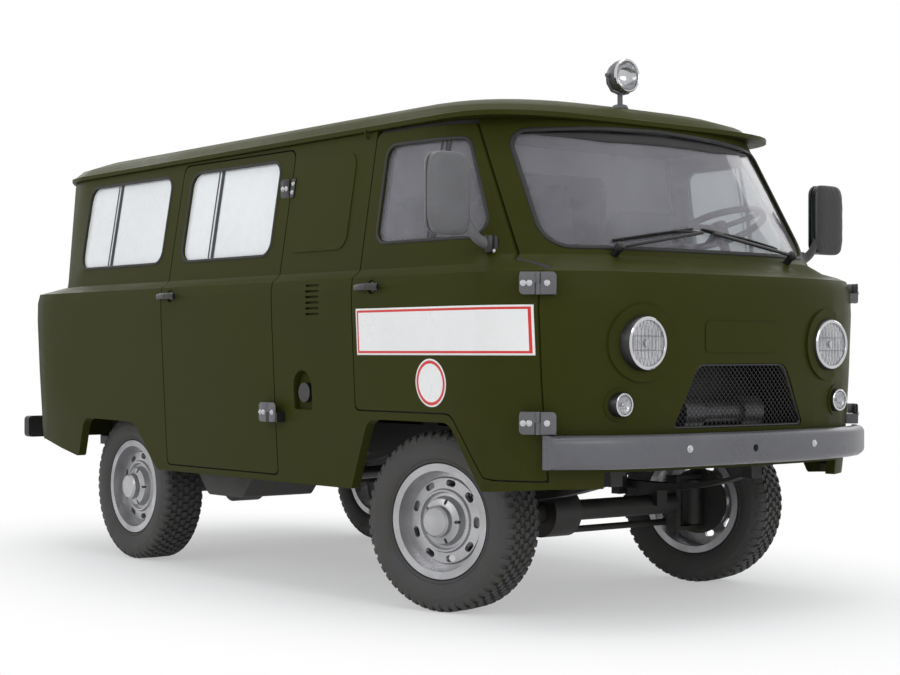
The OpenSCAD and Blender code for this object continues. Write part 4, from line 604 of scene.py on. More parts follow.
def seen_rays(tree):
    """One for the rays that the camera sees, straight, mirrored or through glass."""
    path = add(tree, "ShaderNodeLightPath").outputs
    seen = math_node(tree, "ADD", path["Is Camera Ray"], path["Is Glossy Ray"], clamp=True)
    return math_node(tree, "ADD", seen, path["Is Transmission Ray"], clamp=True)


class VAN_OT_stage(bpy.types.Operator):
    """Pale floor, soft studio light and the camera at the photograph's viewing angle"""
    bl_idname = "van.stage"
    bl_label = "Stage"

    def execute(self, context):
        scene = context.scene
        scene.view_settings.view_transform = "Standard"
        self.floor(scene)
        self.world(scene)
        for name, place, aim, size, power in LAMPS:
            self.lamp(scene, name, place, aim, size, power)
        self.camera(scene)
        return {"FINISHED"}

    def floor(self, scene):
        mesh = bpy.data.meshes.new("studio_floor")
        corners = oblong(-FLOOR_HALF, -FLOOR_HALF, FLOOR_HALF, FLOOR_HALF)
        mesh.from_pydata([(x, y, 0) for x, y in corners], [], [[0, 1, 2, 3]])
        floor = bpy.data.objects.new("studio_floor", mesh)
        scene.collection.objects.link(floor)
        look = bpy.data.materials.new("studio floor")
        look.use_nodes = True
        tree = look.node_tree
        shader = tree.nodes["Principled BSDF"]
        speck = math_node(tree, "MULTIPLY_ADD", noise(tree, 1.5, 4.0), 0.02, 0.90)
        shade = add(tree, "ShaderNodeCombineColor", {0: speck, 1: speck, 2: speck})
        fill(tree, shader, {"Base Color": shade.outputs[0], "Roughness": 0.75, "Specular IOR Level": 0.15})
        place = add(tree, "ShaderNodeTexCoord").outputs["Object"]
        oval = add(tree, "ShaderNodeMapping", {"Vector": place, "Scale": FLOOR_OVAL}).outputs["Vector"]
        far_off = add(tree, "ShaderNodeVectorMath", {0: oval}, operation="LENGTH").outputs["Value"]
        fade = span(tree, far_off, *FLOOR_FADE)
        fade = math_node(tree, "MULTIPLY_ADD", fade, 1.0 - FLOOR_LIFT, FLOOR_LIFT)
        factor = math_node(tree, "MULTIPLY", fade, seen_rays(tree))
        glow = add(tree, "ShaderNodeEmission").outputs[0]
        mixer = add(tree, "ShaderNodeMixShader", {0: factor, 1: shader.outputs[0], 2: glow})
        fill(tree, tree.nodes["Material Output"], {"Surface": mixer.outputs[0]})
        mesh.materials.append(look)

    def world(self, scene):
        world = bpy.data.worlds.new("studio_world")
        world.use_nodes = True
        tree = world.node_tree
        backing = tree.nodes["Background"]
        fill(tree, backing, {"Color": SKY_COLOUR, "Strength": SKY_STRENGTH})
        white = add(tree, "ShaderNodeBackground", {"Color": (1, 1, 1, 1)}).outputs[0]
        mixer = add(tree, "ShaderNodeMixShader", {0: seen_rays(tree), 1: backing.outputs[0], 2: white})
        fill(tree, tree.nodes["World Output"], {"Surface": mixer.outputs[0]})
        scene.world = world

    def lamp(self, scene, name, place, aim, size, power):
        light = bpy.data.lights.new(name, "AREA")
        light.shape = "RECTANGLE"
        light.size = size[0]
        light.size_y = size[1]
        light.energy = power
        lamp = bpy.data.objects.new(name, light)
        scene.collection.objects.link(lamp)
        lamp.location = place
        lamp.rotation_euler = (Vector(aim) - Vector(place)).to_track_quat("-Z", "Y").to_euler()

    def camera(self, scene):
        data = bpy.data.cameras.new("photo_camera")
        data.sensor_width = SENSOR_WIDE
        data.sensor_fit = "HORIZONTAL"
        data.lens = SENSOR_WIDE * CAMERA_FOCUS / PICTURE_WIDE
        camera = bpy.data.objects.new("photo_camera", data)
        scene.collection.objects.link(camera)
        turn = Matrix.Rotation(math.radians(CAMERA_YAW - 90), 4, "Z")
        turn = turn @ Matrix.Rotation(math.radians(90 + CAMERA_PITCH), 4, "X")
        turn = turn @ Matrix.Rotation(math.radians(CAMERA_ROLL), 4, "Z")
        camera.matrix_world = Matrix.Translation(CAMERA_PLACE) @ turn
        scene.camera = camera


# Smooth shading over the CAD facets
SHARP_ANGLE = 26.0
JOIN_UNDER = 0.00002


def soft_facets():
    """Geometry nodes that shade gentle facets smooth and leave real edges sharp."""
    tree = bpy.data.node_groups.new("Soft facets", "GeometryNodeTree")
    for way in ("INPUT", "OUTPUT"):
        tree.interface.new_socket("Geometry", in_out=way, socket_type="NodeSocketGeometry")
    bend = add(tree, "GeometryNodeInputMeshEdgeAngle").outputs["Unsigned Angle"]
    gentle = add(tree, "FunctionNodeCompare", {0: bend, 1: math.radians(SHARP_ANGLE)}, operation="LESS_THAN")
    chain = [
        add(tree, "NodeGroupInput"),
        add(tree, "GeometryNodeMergeByDistance", {"Distance": JOIN_UNDER}),
        add(tree, "GeometryNodeRemoveAttribute", {"Name": "custom_normal"}),
        add(tree, "GeometryNodeSetShadeSmooth", domain="FACE"),
        add(tree, "GeometryNodeSetShadeSmooth", {"Shade Smooth": gentle.outputs[0]}, domain="EDGE"),
        add(tree, "NodeGroupOutput"),
    ]
    for first, second in zip(chain, chain[1:]):
        tree.links.new(first.outputs[0], second.inputs[0])
    return tree


class VAN_OT_smooth_skin(bpy.types.Operator):
    """Shades the facets of the curved CAD panels smooth"""
    bl_idname = "van.smooth_skin"
    bl_label = "Smooth skin"

    def execute(self, context):
        tree = soft_facets()
        for node, part in PARTS.items():
            shading = part.modifiers.new("soft facets", "NODES")
            shading.node_group = tree
            if node in BROAD_PANELS:
                part.modifiers.new("even normals", "WEIGHTED_NORMAL").keep_sharp = True
        return {"FINISHED"}


# Window rubbers, posts and door seals
def side_window(rear, front, low, high):
    return oblong(rear - RUBBER_GROW, low - RUBBER_GROW, front + RUBBER_GROW, high + RUBBER_GROW)


def cab_window(grow):
    front = 0.396 + grow * 1.6
    top_front = 0.197 + grow * 1.3
    low = 1.421 - grow
    high = 1.800 + grow
    return [(-0.220 - grow, low), (front, low), (top_front, high), (-0.220 - grow, high)]


def screen_outline(grow):
    return [(-0.719 - grow, 1.385 - grow, 0.080), (0.719 + grow, 1.385 - grow, 0.080),
            (0.683 + grow, 1.822 + grow, 0.080), (0.3415, 1.8473 + grow, 0), (0, 1.860 + grow, 0),
            (-0.3415, 1.8473 + grow, 0), (-0.683 - grow, 1.822 + grow, 0.080)]


RUBBER_GROW = 0.004
QUARTER = side_window(-2.65, -1.87, 1.405, 1.8)
SALOON = side_window(-1.69, -0.97, 1.405, 1.8)
CAB = cab_window(RUBBER_GROW)
# name, body, panel, outline, corner radius, facing
WINDOWS = [
    ("quarter_rubber_right", "body", "side_panel_right", QUARTER, 0.062, -1),
    ("quarter_rubber_left", "body", "side_panel_left", QUARTER, 0.062, 1),
    ("saloon_rubber_left", "body", "side_panel_left", SALOON, 0.062, 1),
    ("side_door_rubber", "side_door", "side_door", SALOON, 0.062, -1),
    ("cab_rubber_right", "front_door_right", "front_door_right", CAB, 0.054, -1),
    ("cab_rubber_left", "front_door_left", "front_door_left", CAB, 0.054, 1),
    ("screen_rubber", "body", "front_panel", screen_outline(0.005), 0.08, "front"),
    ("rear_rubber_right", "rear_door_right", "rear_door_right",
     side_window(-0.56, -0.09, 1.405, 1.73), 0.062, "back"),
    ("rear_rubber_left", "rear_door_left", "rear_door_left",
     side_window(0.09, 0.56, 1.405, 1.73), 0.062, "back"),
]
# name, body, glass, place along the window, low, high, side
POSTS = [
    ("quarter_post_right", "body", "side_glass", -2.36, 1.404, 1.802, -1),
    ("quarter_post_left", "body", "side_glass", -2.36, 1.404, 1.802, 1),
    ("saloon_post_left", "body", "side_glass", -1.445, 1.404, 1.802, 1),
    ("side_door_post", "side_door", "side_door_glass", -1.445, 1.404, 1.802, -1),
    ("cab_post_right", "front_door_right", "front_glass_right", 0.115, 1.420, 1.802, -1),
    ("cab_post_left", "front_door_left", "front_glass_left", 0.115, 1.420, 1.802, 1),
]


def skin_path(panel, line, facing):
    """Lays an outline on a panel and returns its points and the way the skin faces."""
    path = []
    normals = []
    for point in line:
        if facing == "front":
            met = front_point([panel], point.x, point.y)
        elif facing == "back":
            met = back_point([panel], point.x, point.y)
        else:
            met = side_point([panel], point.x, point.y, facing)
        if met:
            path.append(met[0])
            normals.append(met[1])
    return path, normals


# Shift along the window and half width of a post and of the thin bead behind it
POST_BARS = ((0.0, 0.012), (-0.032, 0.004))
POST_STAND = 0.002
# Size of the dark band of painted shade along the windscreen's top
BAND_HALF = 0.64
BAND_DEEP = 0.045
BAND_TAPER = 0.35
BAND_STAND = 0.0012
BAND_COLUMNS = 40
BAND_ROWS = 3


class VAN_OT_window_rubbers(bpy.types.Operator):
    """Rubber seals round the windows, the posts of the sliding panes and a dark band of painted shade along
    the windscreen's top
    """
    bl_idname = "van.window_rubbers"
    bl_label = "Window rubbers"

    def execute(self, context):
        radius = context.scene.van_sizes.rubber_radius
        for name, body, panel, corners, corner, facing in WINDOWS:
            path, normals = skin_path(panel, denser(rounded(corners, corner, 7), 0.06), facing)
            thick = radius * 1.35 if facing == "front" else radius
            ring = tube(path, thick, 8, True, 0.55, normals)
            new_piece(name, ring, ["window rubber"], body)
        for name, body, glass, x, low, high, side in POSTS:
            self.post(name, body, glass, x, low, high, side)
        self.painted_shade_band()
        return {"FINISHED"}

    def post(self, name, body, glass, x, low, high, side):
        parts = []
        for shift, width in POST_BARS:
            line = [Vector((x + shift, low + (high - low) * k / 6)) for k in range(7)]
            line[0].y += 0.006
            line[-1].y -= 0.006
            path, normals = skin_path(glass, line, side)
            path = [p + n * POST_STAND for p, n in zip(path, normals)]
            parts.append(tube(path, width, 8, False, 0.35, normals))
        new_piece(name, merge(parts), ["dark steel"], body)

    def painted_shade_band(self):
        """Dark band of painted shade along the top of the windscreen that tapers to its ends."""
        verts = []
        for i in range(BAND_COLUMNS + 1):
            y = BAND_HALF * (2 * i / BAND_COLUMNS - 1)
            top = 1.850 - 0.030 * (y / 0.62) ** 2
            deep = BAND_DEEP * min(1.0, max(0.02, (BAND_HALF - abs(y)) / BAND_TAPER)) ** 0.8
            for k in range(BAND_ROWS + 1):
                place, facing = front_point(["windscreen"], y, top - deep * k / BAND_ROWS)
                verts.append(place + facing * BAND_STAND)
        faces = quads(BAND_COLUMNS + 1, BAND_ROWS + 1, wrap=False)
        # painted shade: a dark sheet in the window rubber's finish laid just off the glass
        band = new_piece("screen_top_painted_shade", (verts, faces), ["window rubber"], "body")
        thicken(band, BAND_STAND / 2, 1.0)


# name, door, middle of the scan and side
SEALS = [
    ("door_seal_right", "front_door_right", (0.20, 1.25), -1),
    ("door_seal_left", "front_door_left", (0.20, 1.25), 1),
    ("side_door_seal", "side_door", (-1.33, 1.20), -1),
]
SEAL_BEHIND = 0.0085
SEAL_HALF = 0.018
SEAL_RAYS = 180
SEAL_START = math.radians(20)
# The seal stops where the front edge runs up past the hinges
SEAL_FRONT = 0.34
SEAL_SILL = 0.66
SEAL_REACH = 1.40
SEAL_STEP = 0.010


class VAN_OT_door_seals(bpy.types.Operator):
    """Rubber strips on the body behind the edges of the side doors"""
    bl_idname = "van.door_seals"
    bl_label = "Door seals"

    def execute(self, context):
        for name, door, middle, side in SEALS:
            path = []
            for turn in turns(SEAL_RAYS):
                turn += SEAL_START
                spot = self.edge_point(door, Vector(middle), Vector((math.cos(turn), math.sin(turn))), side)
                if spot.x < along(SEAL_FRONT) or spot.z < SEAL_SILL:
                    path.append(spot)
            strip = tube(path, SEAL_HALF, 8, len(path) == SEAL_RAYS, 0.12, (0, 1, 0))
            new_piece(name, strip, ["window rubber"], "body")
        return {"FINISHED"}

    def edge_point(self, door, middle, ray, side):
        """The door's edge along one ray, and behind its inner face."""
        near = SEAL_REACH
        while not side_point([door], *(middle + ray * near), side):
            near -= SEAL_STEP
        far = near + SEAL_STEP
        for _ in range(5):
            half = (near + far) / 2
            if side_point([door], *(middle + ray * half), side):
                near = half
            else:
                far = half
        inside = middle + ray * (near - SEAL_STEP)
        inner = on_skin([door], at(inside.x, 0, inside.y), (0, side, 0))[0]
        edge = middle + ray * (near + 0.003)
        return at(edge.x, inner.y - side * SEAL_BEHIND, edge.y)


# The blank sign
SIGN_MIDDLE = (0.1945, 1.073)
ROUNDEL_MIDDLE = (0.180, 0.880)
SIGN_STAND = 0.0016
# Distances from the sign's edge between which its red line runs
SIGN_EDGE = (0.0, 0.007, 0.016)
ROUNDEL_RINGS = (0.0, 0.35, 0.7, 0.80, 0.93, 1.0)
ROUNDEL_RED = 0.80
ROUNDEL_TURNS = 48


class VAN_OT_sign(bpy.types.Operator):
    """Blank sign plate and blank roundel on the right front door"""
    bl_idname = "van.sign"
    bl_label = "Sign and roundel"

    def execute(self, context):
        self.plate(context.scene.van_sizes)
        self.roundel(context.scene.van_sizes.roundel_radius)
        return {"FINISHED"}

    def spot(self, x, z):
        place, facing = side_point(["front_door_right"], x, z, -1)
        return place + facing * SIGN_STAND

    def cuts(self, length, parts):
        return [*SIGN_EDGE, *[length * k / parts for k in range(1, parts)],
                *[length - edge for edge in reversed(SIGN_EDGE)]]

    def plate(self, sizes):
        left = SIGN_MIDDLE[0] - sizes.sign_length / 2
        low = SIGN_MIDDLE[1] - sizes.sign_height / 2
        across = self.cuts(sizes.sign_length, 28)
        up = self.cuts(sizes.sign_height, 6)
        verts = [self.spot(left + u, low + v) for u in across for v in up]
        columns = len(across) - 1
        rows = len(up) - 1
        rings = [min(i, columns - 1 - i, k, rows - 1 - k) for i in range(columns) for k in range(rows)]
        faces = quads(columns + 1, rows + 1, wrap=False)
        self.skin("sign_plate", verts, faces, [int(ring == 1) for ring in rings])

    def roundel(self, radius):
        verts = []
        for share in ROUNDEL_RINGS:
            for turn in turns(ROUNDEL_TURNS):
                verts.append(self.spot(ROUNDEL_MIDDLE[0] + radius * share * math.cos(turn),
                                       ROUNDEL_MIDDLE[1] + radius * share * math.sin(turn)))
        rings = quads(len(ROUNDEL_RINGS), ROUNDEL_TURNS)
        faces = [[0, there, after] for _, _, after, there in rings[:ROUNDEL_TURNS]] + rings[ROUNDEL_TURNS:]
        tones = [int(share == ROUNDEL_RED) for share in ROUNDEL_RINGS[:-1] for _ in range(ROUNDEL_TURNS)]
        self.skin("roundel", verts, faces, tones)

    def skin(self, name, verts, faces, tones):
        looks = ["sign white", "sign red"]
        plate = new_piece(name, (verts, faces), looks, "front_door_right", tones)
        thicken(plate, SIGN_STAND, 0.0)


# Tyres and wheel trim
HUB_Z = 0.348
KINGPIN_Y = 0.640
KINGPIN_OFFSET = 0.0825
REAR_X = -2.300
STEER_REST = math.radians(14.8)
# wheel name, side, front
WHEELS = [("front_right", -1, True), ("front_left", 1, True), ("rear_right", -1, False),
          ("rear_left", 1, False)]
# Radius and distance from the wheel's middle plane, from the bead to the foot of the tread
TYRE_LINE = [(0.2035, 0.0790), (0.2225, 0.0795), (0.2280, 0.0925), (0.2340, 0.0955), (0.2365, 0.0985),
             (0.2390, 0.0965), (0.2480, 0.1010), (0.2620, 0.1055), (0.2780, 0.1076), (0.2900, 0.1074),
             (0.2935, 0.1079), (0.2970, 0.1070), (0.3090, 0.1045), (0.3200, 0.1005), (0.3290, 0.0955),
             (0.3345, 0.0880), (0.3368, 0.0740), (0.3376, 0.0400), (0.3378, 0.0)]
# Middle of each lug row, half width and share of a pitch that it is shifted
LUG_ROWS = [(-0.0605, 0.0125, 0.5), (-0.0315, 0.0120, 0.0), (0.0, 0.0130, 0.5), (0.0315, 0.0120, 0.0),
            (0.0605, 0.0125, 0.5)]
# Distance out and radius of the shoulder lugs' outer face
SHOULDER_LONG = [(0.0765, 0.3472), (0.0880, 0.3425), (0.0955, 0.3360), (0.1020, 0.3240), (0.1045, 0.3140)]
SHOULDER_SHORT = [(0.0765, 0.3472), (0.0880, 0.3425), (0.0950, 0.3362), (0.0985, 0.3300), (0.1000, 0.3255)]
TREAD_TOP = 0.3476
LUG_HALF = 0.0145
LUG_SKEW = 0.30
LUG_TAPER = 0.88
SHOULDER_TURN = 0.0128 / HUB_Z
SHOULDER_SINK = 0.013


def wheel_frame(side, front):
    """Centre of a wheel and the way its outer face looks."""
    turn = STEER_REST if front else 0.0
    out = Vector((-math.sin(turn), math.cos(turn), 0)) * side
    pivot = Vector((along(0.0 if front else REAR_X), side * KINGPIN_Y, HUB_Z))
    return pivot + out * KINGPIN_OFFSET, out


def spoke(out, turn):
    """The way from a wheel's middle to its rim at an angle from the top."""
    return UP * math.cos(turn) + UP.cross(out) * math.sin(turn)


def name_of_wheel(name):
    end, side = name.split("_")
    return f"{end}_wheel_{side}"


class VAN_OT_tyres(bpy.types.Operator):
    """Tyres with tread lugs, in place of the plain CAD tyres"""
    bl_idname = "van.tyres"
    bl_label = "Tyres"

    def execute(self, context):
        sizes = context.scene.van_sizes
        for name, side, front in WHEELS:
            centre, out = wheel_frame(side, front)
            carcass = lathe(TYRE_LINE + [(r, -w) for r, w in TYRE_LINE[-2::-1]], centre, out, 108, True)
            parts = merge([carcass, *self.lugs(centre, out, sizes)])
            tyre = new_piece("tread_tyre_" + name, parts, ["tyre rubber"], name_of_wheel(name))
            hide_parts("tyre_" + name)
        return {"FINISHED"}

    def lugs(self, centre, out, sizes):
        count = sizes.lug_count
        pitch = 2 * math.pi / count
        ahead = UP.cross(out)
        parts = []
        for middle, half, shift in LUG_ROWS:
            skew = LUG_SKEW if middle < 0 else -LUG_SKEW
            top = TREAD_TOP - 0.5 * sizes.lug_height - 0.0012 * abs(middle) / 0.06
            for k in range(count):
                turn = (k + shift) * pitch
                ray = spoke(out, turn)
                tangent = ahead * math.cos(turn) - UP * math.sin(turn)
                run = (tangent + out * skew).normalized()
                wide = (out - tangent * skew * 0.4).normalized()
                spot = centre + ray * top + out * middle
                size = (half, LUG_HALF, sizes.lug_height * 0.55)
                parts.append(block(spot, (wide, run, ray), size, LUG_TAPER))
        for edge in (-1, 1):
            for k in range(count):
                turn = (k + (0.0 if edge > 0 else 0.5)) * pitch
                line = SHOULDER_LONG if k % 2 else SHOULDER_SHORT
                parts.append(self.shoulder(centre, out, edge, turn, line))
        return parts

    def shoulder(self, centre, out, edge, turn, line):
        """One lug that runs over the tyre's shoulder."""
        verts = []
        for w, r in line:
            for side in (-1, 1):
                for depth, share in ((0.0, LUG_TAPER), (SHOULDER_SINK, 1.0)):
                    ray = spoke(out, turn + side * SHOULDER_TURN * share)
                    inward = depth * (0.4 if r < 0.33 else 0.2)
                    verts.append(centre + ray * (r - depth) + out * (edge * (w - inward)))
        faces = []
        for a in range(0, len(verts) - 4, 4):
            b = a + 4
            faces += [[a, a + 2, b + 2, b], [a + 1, b + 1, b + 3, a + 3], [a, b, b + 1, a + 1],
                      [a + 2, a + 3, b + 3, b + 2]]
        last = len(verts) - 4
        return verts, [*faces, [0, 1, 3, 2], [last, last + 2, last + 3, last + 1]]


# Lamps
LENS_RINGS = 14
LENS_TURNS = 64
FLUTE_PITCH = 0.011
LAMP_LOOKS = ["black fitting", "chrome", "lens glass", "red lens", "amber lens", "reflector", "lens rib"]
# Place along the van, across and up, then radius, depth and rim
HEADLAMP = ((0.872, 0.510, 1.027), 0.100, 0.062, 0.016)
SIGNAL = ((0.840, 0.597, 0.807), 0.045, 0.045, 0.009)
# Inner and outer edge, foot and head, height, soft edge and finish of the parts of a rear lamp
REAR_LAMP = [
    (0.745, 0.835, 0.815, 0.985, 0.012, 0.006, 0),
    (0.751, 0.829, 0.821, 0.897, 0.029, 0.016, 3),
    (0.751, 0.829, 0.903, 0.979, 0.029, 0.016, 4),
]
SPOT_X = 0.205
SPOT_Z = 2.107


def lens_rise(share, edge, bulge):
    """How far a domed lens stands out at a share of its radius."""
    return edge + (bulge - edge) * (1 - share ** 2)


def lens_disc(centre, radius, edge, bulge, flute):
    """A domed lens that faces forward and carries upright flutes."""
    verts = [centre + Vector((bulge, 0, 0))]
    for ring in range(1, LENS_RINGS + 1):
        share = ring / LENS_RINGS
        for turn in turns(LENS_TURNS):
            wide = radius * share * math.cos(turn)
            high = radius * share * math.sin(turn)
            ripple = flute * math.cos(2 * math.pi * wide / FLUTE_PITCH) * (1 - share ** 6)
            verts.append(centre + Vector((lens_rise(share, edge, bulge) + ripple, wide, high)))
    fan = [[0, 1 + k, 1 + (k + 1) % LENS_TURNS] for k in range(LENS_TURNS)]
    return verts, fan + shifted(quads(LENS_RINGS, LENS_TURNS), 1)


def lens_ribs(centre, radius, edge, bulge):
    """Upright ribs and two cross ribs moulded in a lens that faces forward."""
    lines = [(True, k * radius * 0.21) for k in range(-4, 5)] + [(False, h * radius) for h in (-0.3, 0.3)]
    ribs = []
    for upright, offset in lines:
        half = math.sqrt((radius * 0.96) ** 2 - offset ** 2)
        path = []
        for k in range(9):
            run = half * (k / 4 - 1)
            wide, high = (offset, run) if upright else (run, offset)
            rise = lens_rise(math.hypot(wide, high) / radius, edge, bulge) + 0.0004
            path.append(centre + Vector((rise, wide, high)))
        ribs.append(tube(path, radius * 0.013, 6))
    return ribs


def lamp_parts(place, radius, depth, rim, side):
    """Housing, bright bezel, reflector bowl, bulb cap and lens of one round lamp that faces forward."""
    centre = at(place[0], side * place[1], place[2])
    inner = radius - rim
    skins = [front_point(["front_panel"], centre.y + inner * wide, centre.z)[0].x for wide in (-0.8, 0, 0.8)]
    dish = min(depth * 0.88, centre.x - max(skins) - 0.002)

    def turned(points, segments, closed=False):
        return lathe(points, centre, (1, 0, 0), segments, closed)

    housing = turned([(inner, -depth), (radius, -depth), (radius, -rim * 0.75),
                      (radius - rim * 0.2, -rim * 0.35), (radius - rim * 0.5, -rim * 0.3),
                      (inner, -rim * 0.6)], 56, True)
    bezel = turned([(inner - rim * 0.1, -rim * 0.7), (radius - rim * 0.35, -rim * 0.55),
                    (radius - rim * 0.28, -rim * 0.2), (radius - rim * 0.55, 0.0), (inner, -rim * 0.12),
                    (inner - rim * 0.15, -rim * 0.4)], 56, True)
    bowl = turned([(inner, -rim * 0.6), (inner * 0.86, -dish * 0.72), (inner * 0.6, -dish * 0.90),
                   (inner * 0.28, -dish * 0.98), (0.0, -dish)], 48)
    bulb = turned([(0.0, -dish * 0.42), (inner * 0.1, -dish * 0.44), (inner * 0.16, -dish * 0.52),
                   (inner * 0.16, -dish * 0.8), (inner * 0.08, -dish)], 24)
    lens = lens_disc(centre, inner, -rim * 0.55, -rim * 0.08, radius * 0.013)
    ribs = lens_ribs(centre, inner, -rim * 0.55, -rim * 0.08)
    return [(housing, 0), (bezel, 1), (bowl, 5), (bulb, 1), (lens, 2), *[(rib, 6) for rib in ribs]]


def pillow(panel, facing, corners, height, edge, columns=14, rows=18):
    """A raised cushion-edged block that follows a panel."""
    (u0, v0), (u1, v1) = corners
    verts = []
    for i in range(columns + 1):
        for k in range(rows + 1):
            u = u0 + (u1 - u0) * i / columns
            v = v0 + (v1 - v0) * k / rows
            path, normals = skin_path(panel, [Vector((u, v))], facing)
            inside = min(u - min(u0, u1), max(u0, u1) - u, v - v0, v1 - v)
            share = min(1.0, inside / edge)
            verts.append(path[0] + normals[0] * (height * math.sqrt(1 - (1 - share) ** 2)))
    return verts, quads(columns + 1, rows + 1, wrap=False)


class VAN_OT_lamps(bpy.types.Operator):
    """Headlamps, front signals, rear lamps and the spot lamp on the roof"""
    bl_idname = "van.lamps"
    bl_label = "Lamps"

    def execute(self, context):
        heads = []
        small = []
        for side, _ in SIDES:
            heads += lamp_parts(*HEADLAMP, side)
            small += lamp_parts(*SIGNAL, side)
            for inner, outer, low, high, height, edge, tone in REAR_LAMP:
                corners = ((side * inner, low), (side * outer, high))
                small.append((pillow("rear_panel", "back", corners, height, edge), tone))
        lamps = toned_piece("round_headlamps", heads, LAMP_LOOKS, "body")
        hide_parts("headlamps")
        signals = toned_piece("signal_and_rear_lamps", small, LAMP_LOOKS, "body")
        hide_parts("signal_lamps")
        looks = ["grey fitting", "chrome", "lens glass"]
        spot = toned_piece("roof_spot_lamp", self.spot(), looks, "body")
        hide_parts("spot_lamp")
        return {"FINISHED"}

    def spot(self):
        centre = at(SPOT_X + 0.0475, 0, SPOT_Z)
        axis = (1, 0, 0)
        bowl = lathe([(0.0, -0.095), (0.020, -0.094), (0.037, -0.088), (0.054, -0.070), (0.064, -0.045),
                      (0.0675, -0.018), (0.0675, -0.008), (0.060, -0.008), (0.056, -0.04), (0.0, -0.08)],
                     centre, axis, 56)
        rim = lathe([(0.059, -0.012), (0.068, -0.012), (0.068, -0.004), (0.064, 0.0), (0.059, -0.003)],
                    centre, axis, 56, True)
        mirror = lathe([(0.060, -0.010), (0.050, -0.032), (0.030, -0.052), (0.0, -0.060)], centre, axis, 48)
        lens = lens_disc(centre, 0.060, -0.008, -0.001, 0.0004)
        seat = on_skin(["roof"], at(SPOT_X, 0, 3.0), -UP)[0]
        post = tube([seat, at(SPOT_X, 0, 2.043)], 0.011, 16)
        foot = lathe([(0.0, 0.012), (0.020, 0.012), (0.030, 0.008), (0.034, -0.004), (0.0, -0.004)],
                     seat, UP, 24)
        arms = []
        for side, _ in SIDES:
            bends = ((0, 2.036), (0.045, 2.046), (0.069, 2.075), (0.0725, SPOT_Z))
            arms.append(tube([at(SPOT_X, side * y, z) for y, z in bends], 0.006, 8))
            arms.append(lathe([(0.0, 0.078), (0.008, 0.078), (0.010, 0.074), (0.010, 0.062), (0.0, 0.062)],
                              at(SPOT_X, 0, SPOT_Z), (0, side, 0), 12))
        return [(bowl, 0), (rim, 1), (mirror, 1), (lens, 2), (post, 0), (foot, 0), *[(a, 0) for a in arms]]


# Grille mesh
NOSE_LEVELS = [(0.620, 0.940, 0.8535), (0.900, 0.955, 0.8645), (1.150, 0.967, 0.868)]
NOSE_CURVE = 0.560
NOSE_POWER = 3.0
GRILLE_CORNERS = [(-0.361, 0.715, 0.012), (0.361, 0.715, 0.012), (0.240, 0.953, 0.055),
                  (-0.240, 0.953, 0.055)]
GRILLE_Z = 0.834
WIRE_INSET = 0.0135
WIRE_STEP = 0.0115


def nose_skin(y, z, inset):
    """A point on the nose's curve, set back by inset. Levels hold height, half width and front."""
    low, high = NOSE_LEVELS[:2] if z < NOSE_LEVELS[1][0] else NOSE_LEVELS[1:]
    share = (z - low[0]) / (high[0] - low[0])
    half = low[1] + (high[1] - low[1]) * share - inset
    front = low[2] + (high[2] - low[2]) * share
    bow = (1 - min(1.0, abs(y) / half) ** NOSE_POWER) ** (1 / NOSE_POWER)
    return at(front - NOSE_CURVE + (NOSE_CURVE - inset) * bow, y, z)


def inside_outline(outline, point):
    """Whether a point lies inside a closed outline."""
    inside = False
    for a, b in zip(outline, outline[1:] + outline[:1]):
        if (a.y > point.y) != (b.y > point.y):
            if point.x < a.x + (b.x - a.x) * (point.y - a.y) / (b.y - a.y):
                inside = not inside
    return inside


class VAN_OT_grille(bpy.types.Operator):
    """Fine crossed wires and their frame, in place of the coarser CAD lattice"""
    bl_idname = "van.grille"
    bl_label = "Grille"

    def execute(self, context):
        sizes = context.scene.van_sizes
        outline = rounded(GRILLE_CORNERS, 0.02, 6)
        parts = []
        for turn in (-1, 1):
            depth = WIRE_INSET + 0.0016 * turn
            parts += self.wires(outline, turn, sizes.mesh_pitch, sizes.wire_radius, depth)
        line = denser([Vector((p.x * 0.988, GRILLE_Z + (p.y - GRILLE_Z) * 0.97)) for p in outline], 0.04)
        parts.append(tube([nose_skin(p.x, p.y, 0.0125) for p in line], 0.0062, 8, True))
        mesh = new_piece("wire_grille", merge(parts), ["black fitting"], "body")
        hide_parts("grille_mesh")
        return {"FINISHED"}

    def wires(self, outline, turn, pitch, radius, depth):
        parts = []
        run = Vector((1, turn)).normalized()
        step = Vector((-run.y, run.x))
        middle = Vector((0, GRILLE_Z))
        rows = int(0.5 / pitch)
        for row in range(-rows, rows + 1):
            line = [middle + step * (row * pitch) + run * (k * WIRE_STEP) for k in range(-50, 51)]
            path = [nose_skin(p.x, p.y, depth) for p in line if inside_outline(outline, p)]
            if len(path) > 2:
                parts.append(tube(path, radius, 5))
        return parts


# Hinges, bolts, handles and mirrors
FRONT_PIN = (0.688, 0.878)
LEAF_TURN = math.radians(46)
FRONT_HINGES = (0.704, 1.198)
REAR_PIN_Y = 0.648
REAR_HINGES = (0.745, 1.190)
LEAF_BOLTS = (0.024, 0.050)
LEAF_HIGH = 0.080
PLATE_THICK = 0.0035
SIDE_PIN = (-0.862, 0.982)
SIDE_HINGE_Z = 0.705
FRONT_HANDLE_X = -0.172
SIDE_HANDLE_X = -1.690
HANDLE_Z = 1.246
HINGE_LIFT = 0.0085
HINGE_NEAR = 0.0105
HINGE_FAR = 0.066
SMALL_BOLT = 0.0065
BUMPER_BOLT = 0.0095
SIDE_HINGE = at(SIDE_PIN[0], -SIDE_PIN[1], SIDE_HINGE_Z)
SIDE_AXES = (Vector((1, 0, 0)), UP, Vector((0, -1, 0)))
HARDWARE_LOOKS = ["grey fitting", "bright steel", "black fitting"]
MIRROR_Y = 1.051
MIRROR_Z = 1.565
MIRROR_GLASS_X = 0.3772
MIRROR_ARM = ((0.409, 0.905, 1.398), (0.409, 0.942, 1.424), (0.407, 0.972, 1.465), (0.404, 0.997, 1.512))
